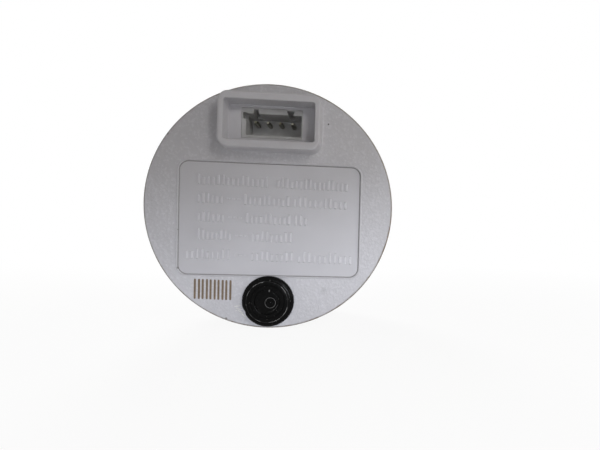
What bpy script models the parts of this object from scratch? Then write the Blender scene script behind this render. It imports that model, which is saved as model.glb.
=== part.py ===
"""A 52 mm class round fuel gauge with a stepper movement and a four-pole connector in its back.

Metres, +Z up. The dial faces -Y and the back faces +Y. The origin is on the dial's axis, in the plane
of the bezel's rear edge, which seats on the mouth of the hole that the gauge is pushed into.
"""
import math

import bmesh
import bpy
from mathutils import Matrix

MM = 0.001

# Shared fits
SEAT = 0.25 * MM            # gap between pieces that rest on each other
SNUG = 0.12 * MM            # gap round small pieces held in a pocket or a hole
RUNNING = 0.05 * MM         # radial clearance of a turning shaft

# Moulded case
CASE_DRAFT = 0.1 * MM       # how much wider it is at the shoulder than at the back
CASE_WALL = 2.0 * MM
BACK_WALL = 2.2 * MM
BACK_ROOM = 5.1 * MM        # from the board to the inside of the back wall
BACK_EDGE_R = 0.5 * MM
NECK_STEP = 1.05 * MM       # how far the bezel's spigot lies inside the case's side
NECK_WALL = 1.5 * MM
NECK_LENGTH = 3.25 * MM
BEAD_HEIGHT = 0.2 * MM
BEAD_LENGTH = 0.7 * MM

# Label panel, sunk into the back face
PANEL_GAP = 2.265 * MM      # from the collar's foot to its upper edge
PANEL_UNDER_PLUG = 0.07 * MM
PANEL_MARGIN = 1.9 * MM     # from its lower corners to the case's edge
PANEL_DEPTH = 0.3 * MM
PANEL_CORNER_R = 1.9 * MM

# Connector collar, moulded on the back face
COLLAR_WIDTH = 20.25 * MM   # at its foot
COLLAR_DEPTH = 11.35 * MM
COLLAR_EDGE = 2.6 * MM      # from the case's edge
COLLAR_HEIGHT = 4.05 * MM
COLLAR_WALL = 1.1 * MM
COLLAR_SILL = 1.55 * MM     # its wall above and below the opening
COLLAR_CORNER_R = 2.3 * MM
COLLAR_INNER_R = 0.5 * MM
COLLAR_FLOOR = 0.15 * MM    # its floor stands this far proud of the back face
COLLAR_DRAFT = 0.2 * MM

# Four-pole header
PIN_PITCH = 2.5 * MM
PIN_COUNT = 4
PIN_SIZE = 0.64 * MM
PIN_TAPER = 0.6             # width of a pin's tip over the width of the pin
PIN_REACH = 3.9 * MM        # above the header's floor
PIN_TAIL = 1.2 * MM         # beyond the board's far face
PIN_RISE = 0.77 * MM        # of the pins above the collar's middle
HEADER_SINK = 0.18 * MM     # of its rim below the back face
HEADER_FLOOR = 1.35 * MM
HEADER_END = 2.4 * MM       # from the last pin's middle to the header's end
HEADER_ABOVE = 2.4 * MM     # from the pins' middle to the header's upper side
HEADER_BELOW = 3.7 * MM
HEADER_WALL = 0.6 * MM
HEADER_KEY_WALL = 0.85 * MM
KEY_WIDTH = 1.15 * MM       # a keyway's narrow part
KEY_HEAD = 1.6 * MM         # and its wide part
KEY_HEAD_DEPTH = 0.4 * MM
KEY_LENGTH = 4.6 * MM
KEY_PLACES = (-3.25 * MM, 3.25 * MM)

# Rubber plug in the back wall
PLUG_EDGE = 0.45 * MM       # from the case's edge
PLUG_R = 5.2 * MM
PLUG_HEIGHT = 1.85 * MM
PLUG_RIM = 0.95 * MM        # width of the rounded outer step
PLUG_RIM_DROP = 0.35 * MM
PLUG_DISH_R = 2.55 * MM
PLUG_DISH_DEPTH = 0.45 * MM
PLUG_BOSS_R = 1.5 * MM
PLUG_BOSS_RISE = 0.35 * MM
PLUG_DIMPLE_R = 0.6 * MM
PLUG_HOLE_R = 2.8 * MM
PLUG_BARB = 0.3 * MM        # how far the barb stands out past the hole
PLUG_BARB_LENGTH = 1.3 * MM
PLUG_TIP_R = 2.0 * MM

# Bezel, lens and seals
BEZEL_WALL = 1.3 * MM
BEZEL_LEAD = 0.4 * MM       # length of the lead-in inside its rear edge
BEZEL_CLEARANCE = 0.25 * MM
BEZEL_LIP = 1.0 * MM
BEZEL_COVER = 1.4 * MM      # how far the lip reaches over the lens
BEZEL_CHAMFER = 0.6 * MM
LENS_MARGIN = 0.05 * MM     # between the lens and the bezel's skirt, past its clearance
LENS_THICKNESS = 1.5 * MM
GASKET_THICKNESS = 1.0 * MM
GASKET_WIDTH = 1.2 * MM
SEAL_WIRE_R = 0.45 * MM
SEAL_GROOVE = 0.85 * MM     # depth in the neck

# Dial side
VISOR_WALL = 0.7 * MM
VISOR_SLOPE = 1.1 * MM      # how much its inner edge closes in towards the dial
DIAL_FRONT_Y = 1.45 * MM
DIAL_THICKNESS = 0.6 * MM
DIAL_HOLE_R = 1.5 * MM
FRAME_WALL = 1.1 * MM
FRAME_FLOOR = 1.2 * MM
LAMP_WIDTH = 3.5 * MM
LAMP_DEPTH = 2.8 * MM
LAMP_HEIGHT = 1.7 * MM
LAMP_ANGLES = (50, 130, 198, 270, 342)
LAMP_RING = 5.85 * MM       # room round the movement for lamps and screws

# Board and screws
BOARD_THICKNESS = 1.6 * MM
PROCESSOR = (7.0 * MM, 7.0 * MM, 1.4 * MM)
PROCESSOR_PLACE = (8.0 * MM, -1.0 * MM)
DRIVER_CHIP = (5.0 * MM, 4.0 * MM, 1.5 * MM)
DRIVER_CHIP_PLACE = (-1.5 * MM, 0.5 * MM)
REGULATOR = (6.5 * MM, 6.1 * MM, 2.3 * MM)
REGULATOR_PLACE = (-12.0 * MM, 1.0 * MM)
DIODE = (4.4 * MM, 2.6 * MM, 2.2 * MM)
DIODE_PLACE = (-11.0 * MM, 11.0 * MM)
CAPACITOR_R = 3.15 * MM
CAPACITOR_HEIGHT = 4.3 * MM
CAPACITOR_CRIMP = 0.25 * MM
CAPACITOR_PLACE = (11.5 * MM, 9.5 * MM)
FASTENER_ANGLES = (20, 160, 236, 304)
SCREW_R = 0.9 * MM
SCREW_HEAD_R = 1.7 * MM
SCREW_HEAD = 1.1 * MM
SCREW_BITE = 3.0 * MM       # length in the post
POST_R = 2.0 * MM
BOSS_R = 2.3 * MM

# Movement
MOTOR_WALL = 1.0 * MM
MOTOR_CLEAR = 1.25 * MM     # from the dial to the nose
WORKS_ROOM = 0.46 * MM      # from the wheels' tips to the wall
MOTOR_COVER = 2.75 * MM     # depth of the rear cover
MOTOR_NOSE_R = 2.1 * MM
MOTOR_NOSE = 1.7 * MM
MODULE = 0.12 * MM
OUTPUT_TEETH = 120
LARGE_TEETH = 96
PINION_TEETH = 8
WHEEL_THICKNESS = 1.0 * MM
LAYER_GAP = 0.3 * MM
PIVOT_R = 0.3 * MM
PIVOT_DEPTH = 0.6 * MM
SPINDLE_R = 0.75 * MM
MAGNET_R = 2.4 * MM
MAGNET_LENGTH = 2.5 * MM
MAGNET_ROOM = 1.05 * MM     # behind the magnet
AIR_GAP = 0.3 * MM
POLE_RING = 1.3 * MM
STATOR_THICKNESS = 1.0 * MM
CORE_WIDTH = 1.6 * MM
YOKE_WIDTH = 1.0 * MM
COIL_R = 1.8 * MM
COIL_WALL = 0.5 * MM
COIL_FLANGE = 0.6 * MM
COIL_LENGTH = 6.4 * MM

# Pointer
POINTER_LENGTH = 17.5 * MM
POINTER_TAIL = 5.5 * MM
POINTER_ROOT_WIDTH = 2.0 * MM
POINTER_TIP_WIDTH = 0.7 * MM
POINTER_THICKNESS = 0.9 * MM
POINTER_HUB_R = 2.6 * MM
POINTER_ABOVE_DIAL = 2.0 * MM
CAP_R = 3.7 * MM
CAP_WALL = 0.6 * MM
CAP_SKIRT = 1.2 * MM
EMPTY_ANGLE = -45           # the needle at rest, in degrees from upright

# Facets
ROUND = 60
HALF_ROUND = 40
SMALL_ROUND = 24
TINY_ROUND = 12

# The movement's train, and the radii that follow from it
TOOTH_TIP = 0.85            # a tooth's height above the pitch circle, in modules
TOOTH_ROOT = 1.15           # and its depth below it
TOOTH_FOOT = 0.64           # a tooth's width at its root, as a share of the step from tooth to tooth
TOOTH_CREST = 0.22          # and at its tip
LEAF_SLIM = 0.88            # width of a pinion's leaf over the width of a wheel's tooth
OUTPUT_REACH = MODULE * (OUTPUT_TEETH + PINION_TEETH) / 2
LARGE_REACH = MODULE * (LARGE_TEETH + PINION_TEETH) / 2
LARGE_PLACE = (0.0, -OUTPUT_REACH)
ROTOR_PLACE = (LARGE_REACH, -OUTPUT_REACH)
LARGE_TIP_R = MODULE * (LARGE_TEETH / 2 + TOOTH_TIP)
MOTOR_R = OUTPUT_REACH + LARGE_TIP_R + WORKS_ROOM + MOTOR_WALL
FASTENER_RADIUS = MOTOR_R + SEAT + LAMP_RING / 2
INSERT_R = MOTOR_R + SEAT + LAMP_RING + FRAME_WALL
NECK_INNER_R = INSERT_R + SEAT
NECK_R = NECK_INNER_R + NECK_WALL
CASE_R = NECK_R + NECK_STEP
INNER_R = CASE_R - CASE_WALL
LENS_R = NECK_R - LENS_MARGIN
BEZEL_R = NECK_R + BEZEL_CLEARANCE + BEZEL_WALL
BEZEL_LIP_R = LENS_R - BEZEL_COVER

# Depths, from the bezel's rear edge
NECK_FRONT_Y = SEAT - NECK_LENGTH
GASKET_FRONT_Y = NECK_FRONT_Y - SEAT - GASKET_THICKNESS
LENS_FRONT_Y = GASKET_FRONT_Y - SEAT - LENS_THICKNESS
BEZEL_FRONT_Y = LENS_FRONT_Y - SEAT - BEZEL_LIP
DIAL_BACK_Y = DIAL_FRONT_Y + DIAL_THICKNESS
FRAME_FRONT_Y = DIAL_BACK_Y + SEAT
MOTOR_FRONT_Y = DIAL_BACK_Y + MOTOR_CLEAR + MOTOR_NOSE
WORKS_FRONT_Y = MOTOR_FRONT_Y + MOTOR_WALL
OUTPUT_Y = WORKS_FRONT_Y + LAYER_GAP
LARGE_Y = OUTPUT_Y + WHEEL_THICKNESS + 2 * LAYER_GAP
MAGNET_Y = LARGE_Y + WHEEL_THICKNESS + 2 * LAYER_GAP
STATOR_Y = MAGNET_Y + (MAGNET_LENGTH - STATOR_THICKNESS) / 2
WORKS_BACK_Y = MAGNET_Y + MAGNET_LENGTH + MAGNET_ROOM
MOTOR_BACK_Y = WORKS_BACK_Y + MOTOR_WALL
COVER_FRONT_Y = MOTOR_BACK_Y - MOTOR_COVER
FRAME_BACK_Y = MOTOR_BACK_Y
BOARD_FRONT_Y = MOTOR_BACK_Y + SEAT
BOARD_BACK_Y = BOARD_FRONT_Y + BOARD_THICKNESS
BACK_INNER_Y = BOARD_BACK_Y + BACK_ROOM
BACK_Y = BACK_INNER_Y + BACK_WALL
HEADER_Y = BOARD_BACK_Y + SNUG
HEADER_HEIGHT = BACK_Y - HEADER_SINK - HEADER_Y

# Heights on the back face
COLLAR_Z = CASE_R - COLLAR_EDGE - COLLAR_DEPTH / 2
PIN_Z = COLLAR_Z + PIN_RISE
PLUG_Z = PLUG_EDGE + PLUG_R - CASE_R
PANEL_TOP = COLLAR_Z - COLLAR_DEPTH / 2 - PANEL_GAP
PANEL_FOOT = PLUG_Z + PLUG_R - PANEL_UNDER_PLUG
PANEL_HEIGHT = PANEL_TOP - PANEL_FOOT
PANEL_Z = (PANEL_TOP + PANEL_FOOT) / 2
PANEL_WIDTH = 2 * math.sqrt((CASE_R - PANEL_MARGIN) ** 2 - PANEL_FOOT ** 2)


def clear_scene():
    for item in list(bpy.data.objects):
        bpy.data.objects.remove(item, do_unlink=True)


def linear(channel):
    """One channel of an sRGB colour, 0 to 1, as linear light."""
    if channel <= 0.04045:
        return channel / 12.92
    return ((channel + 0.055) / 1.055) ** 2.4


def material(name, colour, roughness, metallic=0.0, alpha=1.0):
    """A plain Principled material from an sRGB hex colour, made once for each name."""
    found = bpy.data.materials.get(name)
    if found:
        return found
    made = bpy.data.materials.new(name)
    made.use_nodes = True
    shader = made.node_tree.nodes["Principled BSDF"]
    channels = [linear(int(colour[i:i + 2], 16) / 255) for i in (0, 2, 4)]
    shader.inputs["Base Color"].default_value = (*channels, 1.0)
    shader.inputs["Roughness"].default_value = roughness
    shader.inputs["Metallic"].default_value = metallic
    shader.inputs["Alpha"].default_value = alpha
    made.diffuse_color = (*channels, alpha)
    return made


def white_plastic():
    return material("white_plastic", "C9C8CC", 0.5)


def black_plastic():
    return material("black_plastic", "141416", 0.45)


def black_rubber():
    return material("black_rubber", "0E0E10", 0.35)


def soft_iron():
    return material("soft_iron", "6B6B6E", 0.4, 1.0)


def gear_plastic():
    return material("gear_plastic", "E6DFC8", 0.4)


def add_object(name, shape, finish, place=(0.0, 0.0), angle=0.0):
    """Turns a bmesh into an object whose origin stands at place (x, z) on a line along Y."""
    bmesh.ops.remove_doubles(shape, verts=shape.verts, dist=1e-7)
    bmesh.ops.recalc_face_normals(shape, faces=shape.faces)
    mesh = bpy.data.meshes.new(name)
    shape.to_mesh(mesh)
    shape.free()
    mesh.shade_smooth()
    mesh.set_sharp_from_angle(angle=math.radians(30))
    if finish:
        mesh.materials.append(finish)
    made = bpy.data.objects.new(name, mesh)
    made.location = (place[0], 0.0, place[1])
    made.rotation_euler = (0.0, math.radians(angle), 0.0)
    bpy.context.scene.collection.objects.link(made)
    return made


def revolve(section, segments):
    """A solid of revolution about local Y, from (radius, y) points.

    The section is a closed loop, or it runs from the axis to the axis.
    """
    shape = bmesh.new()
    rings = []
    for radius, y in section:
        if radius == 0.0:
            rings.append([shape.verts.new((0.0, y, 0.0))])
            continue
        turn = [2 * math.pi * i / segments for i in range(segments)]
        rings.append([shape.verts.new((radius * math.cos(a), y, radius * math.sin(a))) for a in turn])
    pairs = list(zip(rings, rings[1:]))
    if len(rings[0]) > 1:
        pairs.append((rings[-1], rings[0]))
    for first, second in pairs:
        for i in range(segments):
            j = (i + 1) % segments
            corners = [first[i % len(first)], first[j % len(first)], second[j % len(second)], second[i % len(second)]]
            unique = list(dict.fromkeys(corners))
            if len(unique) > 2:
                shape.faces.new(unique)
    return shape


def prism(outline, y_low, y_high, shrink_high=0.0):
    """A straight or tapered block from an (x, z) outline; shrink_high narrows its far end all round."""
    shape = bmesh.new()
    low = [shape.verts.new((x, y_low, z)) for x, z in outline]
    middle_x = sum(x for x, z in outline) / len(outline)
    middle_z = sum(z for x, z in outline) / len(outline)
    half_x = max(x for x, z in outline) - middle_x
    half_z = max(z for x, z in outline) - middle_z
    scale_x = 1.0 - shrink_high / half_x
    scale_z = 1.0 - shrink_high / half_z
    high = []
    for x, z in outline:
        far_x = middle_x + (x - middle_x) * scale_x
        far_z = middle_z + (z - middle_z) * scale_z
        high.append(shape.verts.new((far_x, y_high, far_z)))
    shape.faces.new(low)
    shape.faces.new(high)
    for i in range(len(outline)):
        j = (i + 1) % len(outline)
        shape.faces.new((low[i], low[j], high[j], high[i]))
    return shape


def merged(*shapes):
    """Several bmeshes as one, for shapes that stand clear of each other."""
    whole = shapes[0]
    for part in shapes[1:]:
        carrier = bpy.data.meshes.new("carrier")
        part.to_mesh(carrier)
        part.free()
        whole.from_mesh(carrier)
        bpy.data.meshes.remove(carrier)
    return whole


def circle(radius, segments, x=0.0, z=0.0):
    turn = [2 * math.pi * i / segments for i in range(segments)]
    return [(x + radius * math.cos(a), z + radius * math.sin(a)) for a in turn]


def rounded_box(width, height, corner, steps=4, x=0.0, z=0.0):
    """The (x, z) outline of a rectangle with round corners."""
    points = []
    for quarter in range(4):
        sign_x = (1, -1, -1, 1)[quarter]
        sign_z = (1, 1, -1, -1)[quarter]
        middle = (x + sign_x * (width / 2 - corner), z + sign_z * (height / 2 - corner))
        for i in range(steps + 1):
            a = math.pi / 2 * (quarter + i / steps)
            points.append((middle[0] + corner * math.cos(a), middle[1] + corner * math.sin(a)))
    return points


def box(width, height, x=0.0, z=0.0):
    """The (x, z) outline of a plain rectangle."""
    w = width / 2
    h = height / 2
    return [(x - w, z - h), (x + w, z - h), (x + w, z + h), (x - w, z + h)]


def on_circle(radius, degrees):
    a = math.radians(degrees)
    return radius * math.cos(a), radius * math.sin(a)


def combine(target, name, shape, operation, place=(0.0, 0.0)):
    """Adds a shape to an object or cuts it away, with the tool kept as a hidden guide."""
    tool = add_object(name, shape, None, place)
    tool.hide_render = True
    tool.display_type = "WIRE"
    tool.parent = target
    tool.matrix_parent_inverse = target.matrix_basis.inverted()
    modifier = target.modifiers.new(name, "BOOLEAN")
    modifier.operation = operation
    modifier.solver = "EXACT"
    modifier.object = tool
    return tool


def gear_outline(teeth, middle_of_tooth, slim=1.0):
    """A toothed outline. middle_of_tooth is the direction, in degrees, that one tooth points in."""
    pitch_r = MODULE * teeth / 2
    tip_r = pitch_r + TOOTH_TIP * MODULE
    root_r = pitch_r - TOOTH_ROOT * MODULE
    step = 2 * math.pi / teeth
    root_half = TOOTH_FOOT / 2 * step * slim
    tip_half = TOOTH_CREST / 2 * step * slim
    points = []
    for i in range(teeth):
        a = math.radians(middle_of_tooth) + i * step
        for radius, offset in ((root_r, -root_half), (tip_r, -tip_half), (tip_r, tip_half), (root_r, root_half)):
            points.append((radius * math.cos(a + offset), radius * math.sin(a + offset)))
    return points


def make_rear_case():
    """The cup: side wall, back wall, bezel spigot, screw posts, collar and label panel in one moulding."""
    shoulder_r = CASE_R + CASE_DRAFT
    bead_y = NECK_FRONT_Y + BEAD_LENGTH
    groove_y = SEAT - 2.0 * SEAL_WIRE_R - 3 * SNUG
    groove_r = NECK_R - SEAL_GROOVE
    section = [(0.0, BACK_INNER_Y), (INNER_R, BACK_INNER_Y), (INNER_R, SEAT + CASE_WALL), (NECK_INNER_R, SEAT),
               (NECK_INNER_R, NECK_FRONT_Y), (NECK_R, NECK_FRONT_Y), (NECK_R, bead_y - BEAD_LENGTH / 2),
               (NECK_R + BEAD_HEIGHT, bead_y), (NECK_R, bead_y + BEAD_LENGTH / 2), (NECK_R, groove_y),
               (groove_r, groove_y), (groove_r, SEAT), (shoulder_r, SEAT)]
    for i in range(5):
        a = math.pi / 2 * i / 4
        radius = CASE_R - BACK_EDGE_R + BACK_EDGE_R * math.cos(a)
        section.append((radius, BACK_Y - BACK_EDGE_R + BACK_EDGE_R * math.sin(a)))
    section.append((0.0, BACK_Y))
    case = add_object("rear_case", revolve(section, ROUND), white_plastic())

    posts = []
    pilots = []
    for degrees in FASTENER_ANGLES:
        x, z = on_circle(FASTENER_RADIUS, degrees)
        post_y = BOARD_BACK_Y + SEAT
        posts.append(prism(circle(POST_R, SMALL_ROUND // 2, x, z), post_y, BACK_Y - BACK_WALL / 2))
        pilot_end = post_y + SCREW_BITE + SEAT
        pilots.append(prism(circle(SCREW_R + SNUG, TINY_ROUND, x, z), post_y - SEAT, pilot_end))
    combine(case, "screw_posts", merged(*posts), "UNION")
    combine(case, "screw_pilots", merged(*pilots), "DIFFERENCE")

    collar = rounded_box(COLLAR_WIDTH, COLLAR_DEPTH, COLLAR_CORNER_R, 4, 0.0, COLLAR_Z)
    sunk = BACK_WALL / 2
    combine(case, "collar_shape", prism(collar, BACK_Y - sunk, BACK_Y + COLLAR_HEIGHT, COLLAR_DRAFT), "UNION")
    opening_width = COLLAR_WIDTH - 2 * (COLLAR_DRAFT + COLLAR_WALL)
    opening_height = COLLAR_DEPTH - 2 * (COLLAR_DRAFT + COLLAR_SILL)
    opening = rounded_box(opening_width, opening_height, COLLAR_INNER_R, 2, 0.0, COLLAR_Z)
    top = BACK_Y + COLLAR_HEIGHT + SEAT
    combine(case, "collar_opening", prism(opening, top, BACK_Y + COLLAR_FLOOR, COLLAR_DRAFT), "DIFFERENCE")

    width, height, middle = header_outer()
    slot = box(width + 2 * SNUG, height + 2 * SNUG, 0.0, middle)
    combine(case, "header_slot", prism(slot, BACK_INNER_Y - SEAT, BACK_Y + SEAT), "DIFFERENCE")

    panel = rounded_box(PANEL_WIDTH, PANEL_HEIGHT, PANEL_CORNER_R, 4, 0.0, PANEL_Z)
    combine(case, "panel_recess", prism(panel, BACK_Y - PANEL_DEPTH, BACK_Y + SEAT), "DIFFERENCE")
    hole = prism(circle(PLUG_HOLE_R, SMALL_ROUND), BACK_INNER_Y - SEAT, BACK_Y + SEAT)
    combine(case, "plug_hole", hole, "DIFFERENCE", (0.0, PLUG_Z))
    return case


def header_outer():
    """Width, height and middle z of the header's outside."""
    width = (PIN_COUNT - 1) * PIN_PITCH + 2 * HEADER_END
    height = HEADER_ABOVE + HEADER_BELOW
    return width, height, PIN_Z + (HEADER_ABOVE - HEADER_BELOW) / 2


def pin_places():
    return [(i - (PIN_COUNT - 1) / 2) * PIN_PITCH for i in range(PIN_COUNT)]


def make_header():
    """The four-pole header: a deep open box with two keyways and a corner notch in its upper wall."""
    width, height, middle = header_outer()
    top = HEADER_Y + HEADER_HEIGHT
    floor = HEADER_Y + HEADER_FLOOR
    header = add_object("connector_header", prism(box(width, height, 0.0, middle), HEADER_Y, top), white_plastic())
    inner_height = height - HEADER_WALL - HEADER_KEY_WALL
    inner_z = middle + (HEADER_WALL - HEADER_KEY_WALL) / 2
    cavity = box(width - 2 * HEADER_WALL, inner_height, 0.0, inner_z)
    combine(header, "header_cavity", prism(cavity, floor, top + SEAT), "DIFFERENCE")
    inner_top = inner_z + inner_height / 2
    outer_top = middle + height / 2
    key_y = top - KEY_LENGTH
    keys = []
    for x in KEY_PLACES:
        neck = KEY_WIDTH / 2
        head = KEY_HEAD / 2
        head_z = outer_top - KEY_HEAD_DEPTH
        outline = [(x - neck, inner_top - SEAT), (x + neck, inner_top - SEAT), (x + head, head_z),
                   (x + head, outer_top + SEAT), (x - head, outer_top + SEAT), (x - head, head_z)]
        keys.append(prism(outline, key_y, top + SEAT))
    combine(header, "header_keyways", merged(*keys), "DIFFERENCE")
    holes = [prism(box(PIN_SIZE + 2 * RUNNING, PIN_SIZE + 2 * RUNNING, x, PIN_Z), HEADER_Y - SEAT, floor + SEAT)
             for x in pin_places()]
    combine(header, "header_pin_holes", merged(*holes), "DIFFERENCE")
    return header


def make_pins():
    """Square pins with a tapered tip, from below the board up into the header."""
    tail_y = BOARD_FRONT_Y - PIN_TAIL / 4
    tip_y = HEADER_Y + HEADER_FLOOR + PIN_REACH
    brass = material("tinned_brass", "B9B7B0", 0.3, 1.0)
    for number, x in enumerate(pin_places(), 1):
        section = box(PIN_SIZE, PIN_SIZE, x, PIN_Z)
        body = prism(section, tail_y, tip_y - PIN_SIZE)
        shape = body
        high = [v for v in shape.verts if v.co.y > (tail_y + tip_y) / 2]
        top_face = next(f for f in shape.faces if all(v in high for v in f.verts))
        tip = bmesh.ops.extrude_face_region(shape, geom=[top_face])
        moved = [item for item in tip["geom"] if isinstance(item, bmesh.types.BMVert)]
        bmesh.ops.delete(shape, geom=[top_face], context="FACES_ONLY")
        for vertex in moved:
            vertex.co.y = tip_y
            vertex.co.x = x + (vertex.co.x - x) * PIN_TAPER
            vertex.co.z = PIN_Z + (vertex.co.z - PIN_Z) * PIN_TAPER
        add_object(f"contact_pin_{number}", shape, brass)


def make_plug():
    """The turned shape of the rubber plug: stepped head outside, neck in the hole, barb inside."""
    seat_y = BACK_Y + SNUG
    top = BACK_Y + PLUG_HEIGHT
    neck_r = PLUG_HOLE_R - SNUG
    inner_y = BACK_INNER_Y - SNUG
    barb_r = PLUG_HOLE_R + PLUG_BARB
    rim_y = top - PLUG_RIM_DROP
    rim_r = PLUG_R - PLUG_RIM
    section = [(0.0, inner_y - PLUG_BARB_LENGTH), (PLUG_TIP_R, inner_y - PLUG_BARB_LENGTH), (barb_r, inner_y),
               (neck_r, inner_y), (neck_r, seat_y), (PLUG_R, seat_y)]
    round_r = rim_y - seat_y
    for i in range(1, 5):
        a = math.pi / 2 * i / 4
        section.append((PLUG_R - PLUG_RIM * 0.6 * (1 - math.cos(a)), seat_y + round_r * math.sin(a)))
    section += [(rim_r, rim_y), (rim_r, top), (PLUG_DISH_R, top), (PLUG_DISH_R, top - PLUG_DISH_DEPTH),
                (PLUG_BOSS_R, top - PLUG_DISH_DEPTH), (PLUG_BOSS_R, top - PLUG_DISH_DEPTH + PLUG_BOSS_RISE),
                (PLUG_DIMPLE_R, top - PLUG_DISH_DEPTH + PLUG_BOSS_RISE), (0.0, top - PLUG_DISH_DEPTH)]
    return add_object("rubber_plug", revolve(section, HALF_ROUND - 8), black_rubber(), (0.0, PLUG_Z))


def make_bezel():
    """The front ring: a lip over the lens and a skirt with a groove that snaps over the spigot's bead."""
    skirt_r = NECK_R + BEZEL_CLEARANCE
    bead_y = NECK_FRONT_Y + BEAD_LENGTH
    lip_y = BEZEL_FRONT_Y + BEZEL_LIP
    seat_r = CASE_R + CASE_DRAFT + RUNNING
    section = [(skirt_r, -BEZEL_LEAD), (seat_r, 0.0), (BEZEL_R, 0.0), (BEZEL_R, BEZEL_FRONT_Y + BEZEL_CHAMFER),
               (BEZEL_R - BEZEL_CHAMFER, BEZEL_FRONT_Y), (BEZEL_LIP_R + BEZEL_CHAMFER, BEZEL_FRONT_Y),
               (BEZEL_LIP_R, BEZEL_FRONT_Y + BEZEL_CHAMFER), (BEZEL_LIP_R, lip_y), (skirt_r, lip_y),
               (skirt_r, bead_y - BEAD_LENGTH / 2), (skirt_r + BEAD_HEIGHT, bead_y),
               (skirt_r, bead_y + BEAD_LENGTH / 2)]
    return add_object("bezel", revolve(section, ROUND), black_plastic())


def make_lens():
    back = LENS_FRONT_Y + LENS_THICKNESS
    section = [(0.0, LENS_FRONT_Y), (LENS_R, LENS_FRONT_Y), (LENS_R, back), (0.0, back)]
    return add_object("lens", revolve(section, ROUND), material("clear_acrylic", "E8F0F2", 0.05, 0.0, 0.3))


def ring(name, inner, outer, front, back, finish, segments=ROUND):
    """A flat ring of rectangular section."""
    return add_object(name, revolve([(inner, front), (outer, front), (outer, back), (inner, back)], segments), finish)


def make_gasket():
    back = GASKET_FRONT_Y + GASKET_THICKNESS
    return ring("lens_gasket", LENS_R - GASKET_WIDTH, LENS_R, GASKET_FRONT_Y, back, black_rubber(), HALF_ROUND)


def make_case_seal():
    """The O-ring in the spigot's groove."""
    middle_y = SEAT - SNUG - SEAL_WIRE_R
    middle_r = NECK_R - SEAL_GROOVE + SNUG + SEAL_WIRE_R
    section = []
    for i in range(6):
        a = 2 * math.pi * i / 6
        section.append((middle_r + SEAL_WIRE_R * math.cos(a), middle_y + SEAL_WIRE_R * math.sin(a)))
    return add_object("case_seal", revolve(section, HALF_ROUND), black_rubber())


def make_visor():
    """The black ring that slopes from the lens down to the dial."""
    front = GASKET_FRONT_Y
    back = DIAL_FRONT_Y - SEAT
    inner = INSERT_R - VISOR_WALL
    section = [(inner, front), (INSERT_R, front), (INSERT_R, back), (inner - VISOR_SLOPE, back)]
    return add_object("visor_ring", revolve(section, ROUND), black_plastic())


def make_dial():
    return ring("dial_plate", DIAL_HOLE_R, INSERT_R, DIAL_FRONT_Y, DIAL_BACK_Y, black_plastic())


def frame_bore():
    """Radius of the light frame's opening round the movement."""
    return MOTOR_R + SEAT


def make_light_frame():
    """The white frame: outer wall, an annular floor with lamp windows, and a tube at each screw."""
    floor_back = FRAME_BACK_Y - LAMP_HEIGHT
    floor_front = floor_back - FRAME_FLOOR
    bore = frame_bore()
    outer = INSERT_R
    inner = outer - FRAME_WALL
    section = [(bore, floor_front), (inner, floor_front), (inner, FRAME_FRONT_Y), (outer, FRAME_FRONT_Y),
               (outer, FRAME_BACK_Y), (inner, FRAME_BACK_Y), (inner, floor_back), (bore, floor_back)]
    frame = add_object("light_frame", revolve(section, HALF_ROUND), white_plastic())
    bosses = []
    holes = []
    for degrees in FASTENER_ANGLES:
        x, z = on_circle(FASTENER_RADIUS, degrees)
        bosses.append(prism(circle(BOSS_R, TINY_ROUND, x, z), floor_front + FRAME_FLOOR / 2, FRAME_BACK_Y))
        holes.append(prism(circle(SCREW_R + SNUG, TINY_ROUND, x, z), floor_front - SEAT, FRAME_BACK_Y + SEAT))
    combine(frame, "frame_bosses", merged(*bosses), "UNION")
    combine(frame, "frame_screw_holes", merged(*holes), "DIFFERENCE")
    windows = []
    for degrees in LAMP_ANGLES:
        window = prism(box(LAMP_DEPTH + 2 * SEAT, LAMP_WIDTH + 2 * SEAT), floor_front - SEAT, floor_back + SEAT)
        x, z = on_circle(FASTENER_RADIUS, degrees)
        turn = Matrix.Rotation(-math.radians(degrees), 4, "Y")
        bmesh.ops.transform(window, matrix=Matrix.Translation((x, 0.0, z)) @ turn, verts=window.verts)
        windows.append(window)
    combine(frame, "frame_windows", merged(*windows), "DIFFERENCE")
    return frame


def make_board():
    """The round circuit board with its screw holes and pin holes."""
    board_r = INNER_R - SEAT
    green = material("board_green", "1E5B38", 0.45)
    board = ring("circuit_board", SPINDLE_R, board_r, BOARD_FRONT_Y, BOARD_BACK_Y, green)
    front = BOARD_FRONT_Y - SEAT
    back = BOARD_BACK_Y + SEAT
    holes = []
    for degrees in FASTENER_ANGLES:
        x, z = on_circle(FASTENER_RADIUS, degrees)
        holes.append(prism(circle(SCREW_R + SNUG, TINY_ROUND, x, z), front, back))
    for x in pin_places():
        holes.append(prism(box(PIN_SIZE + 2 * RUNNING, PIN_SIZE + 2 * RUNNING, x, PIN_Z), front, back))
    combine(board, "board_holes", merged(*holes), "DIFFERENCE")
    return board


def make_screws():
    """Pan-head screws through the frame and the board into the case's posts."""
    floor_front = FRAME_BACK_Y - LAMP_HEIGHT - FRAME_FLOOR
    head_back = floor_front - SNUG
    end = BOARD_BACK_Y + SEAT + SCREW_BITE
    steel = material("screw_steel", "A9ABAF", 0.3, 1.0)
    dome_r = SCREW_HEAD_R * 0.7
    section = [(0.0, head_back - SCREW_HEAD), (dome_r, head_back - SCREW_HEAD),
               (SCREW_HEAD_R, head_back - SCREW_HEAD / 2), (SCREW_HEAD_R, head_back), (SCREW_R, head_back),
               (SCREW_R, end - SCREW_R), (0.0, end)]
    for number, degrees in enumerate(FASTENER_ANGLES, 1):
        shape = revolve(section, TINY_ROUND)
        add_object(f"board_screw_{number}", shape, steel, on_circle(FASTENER_RADIUS, degrees))


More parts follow.
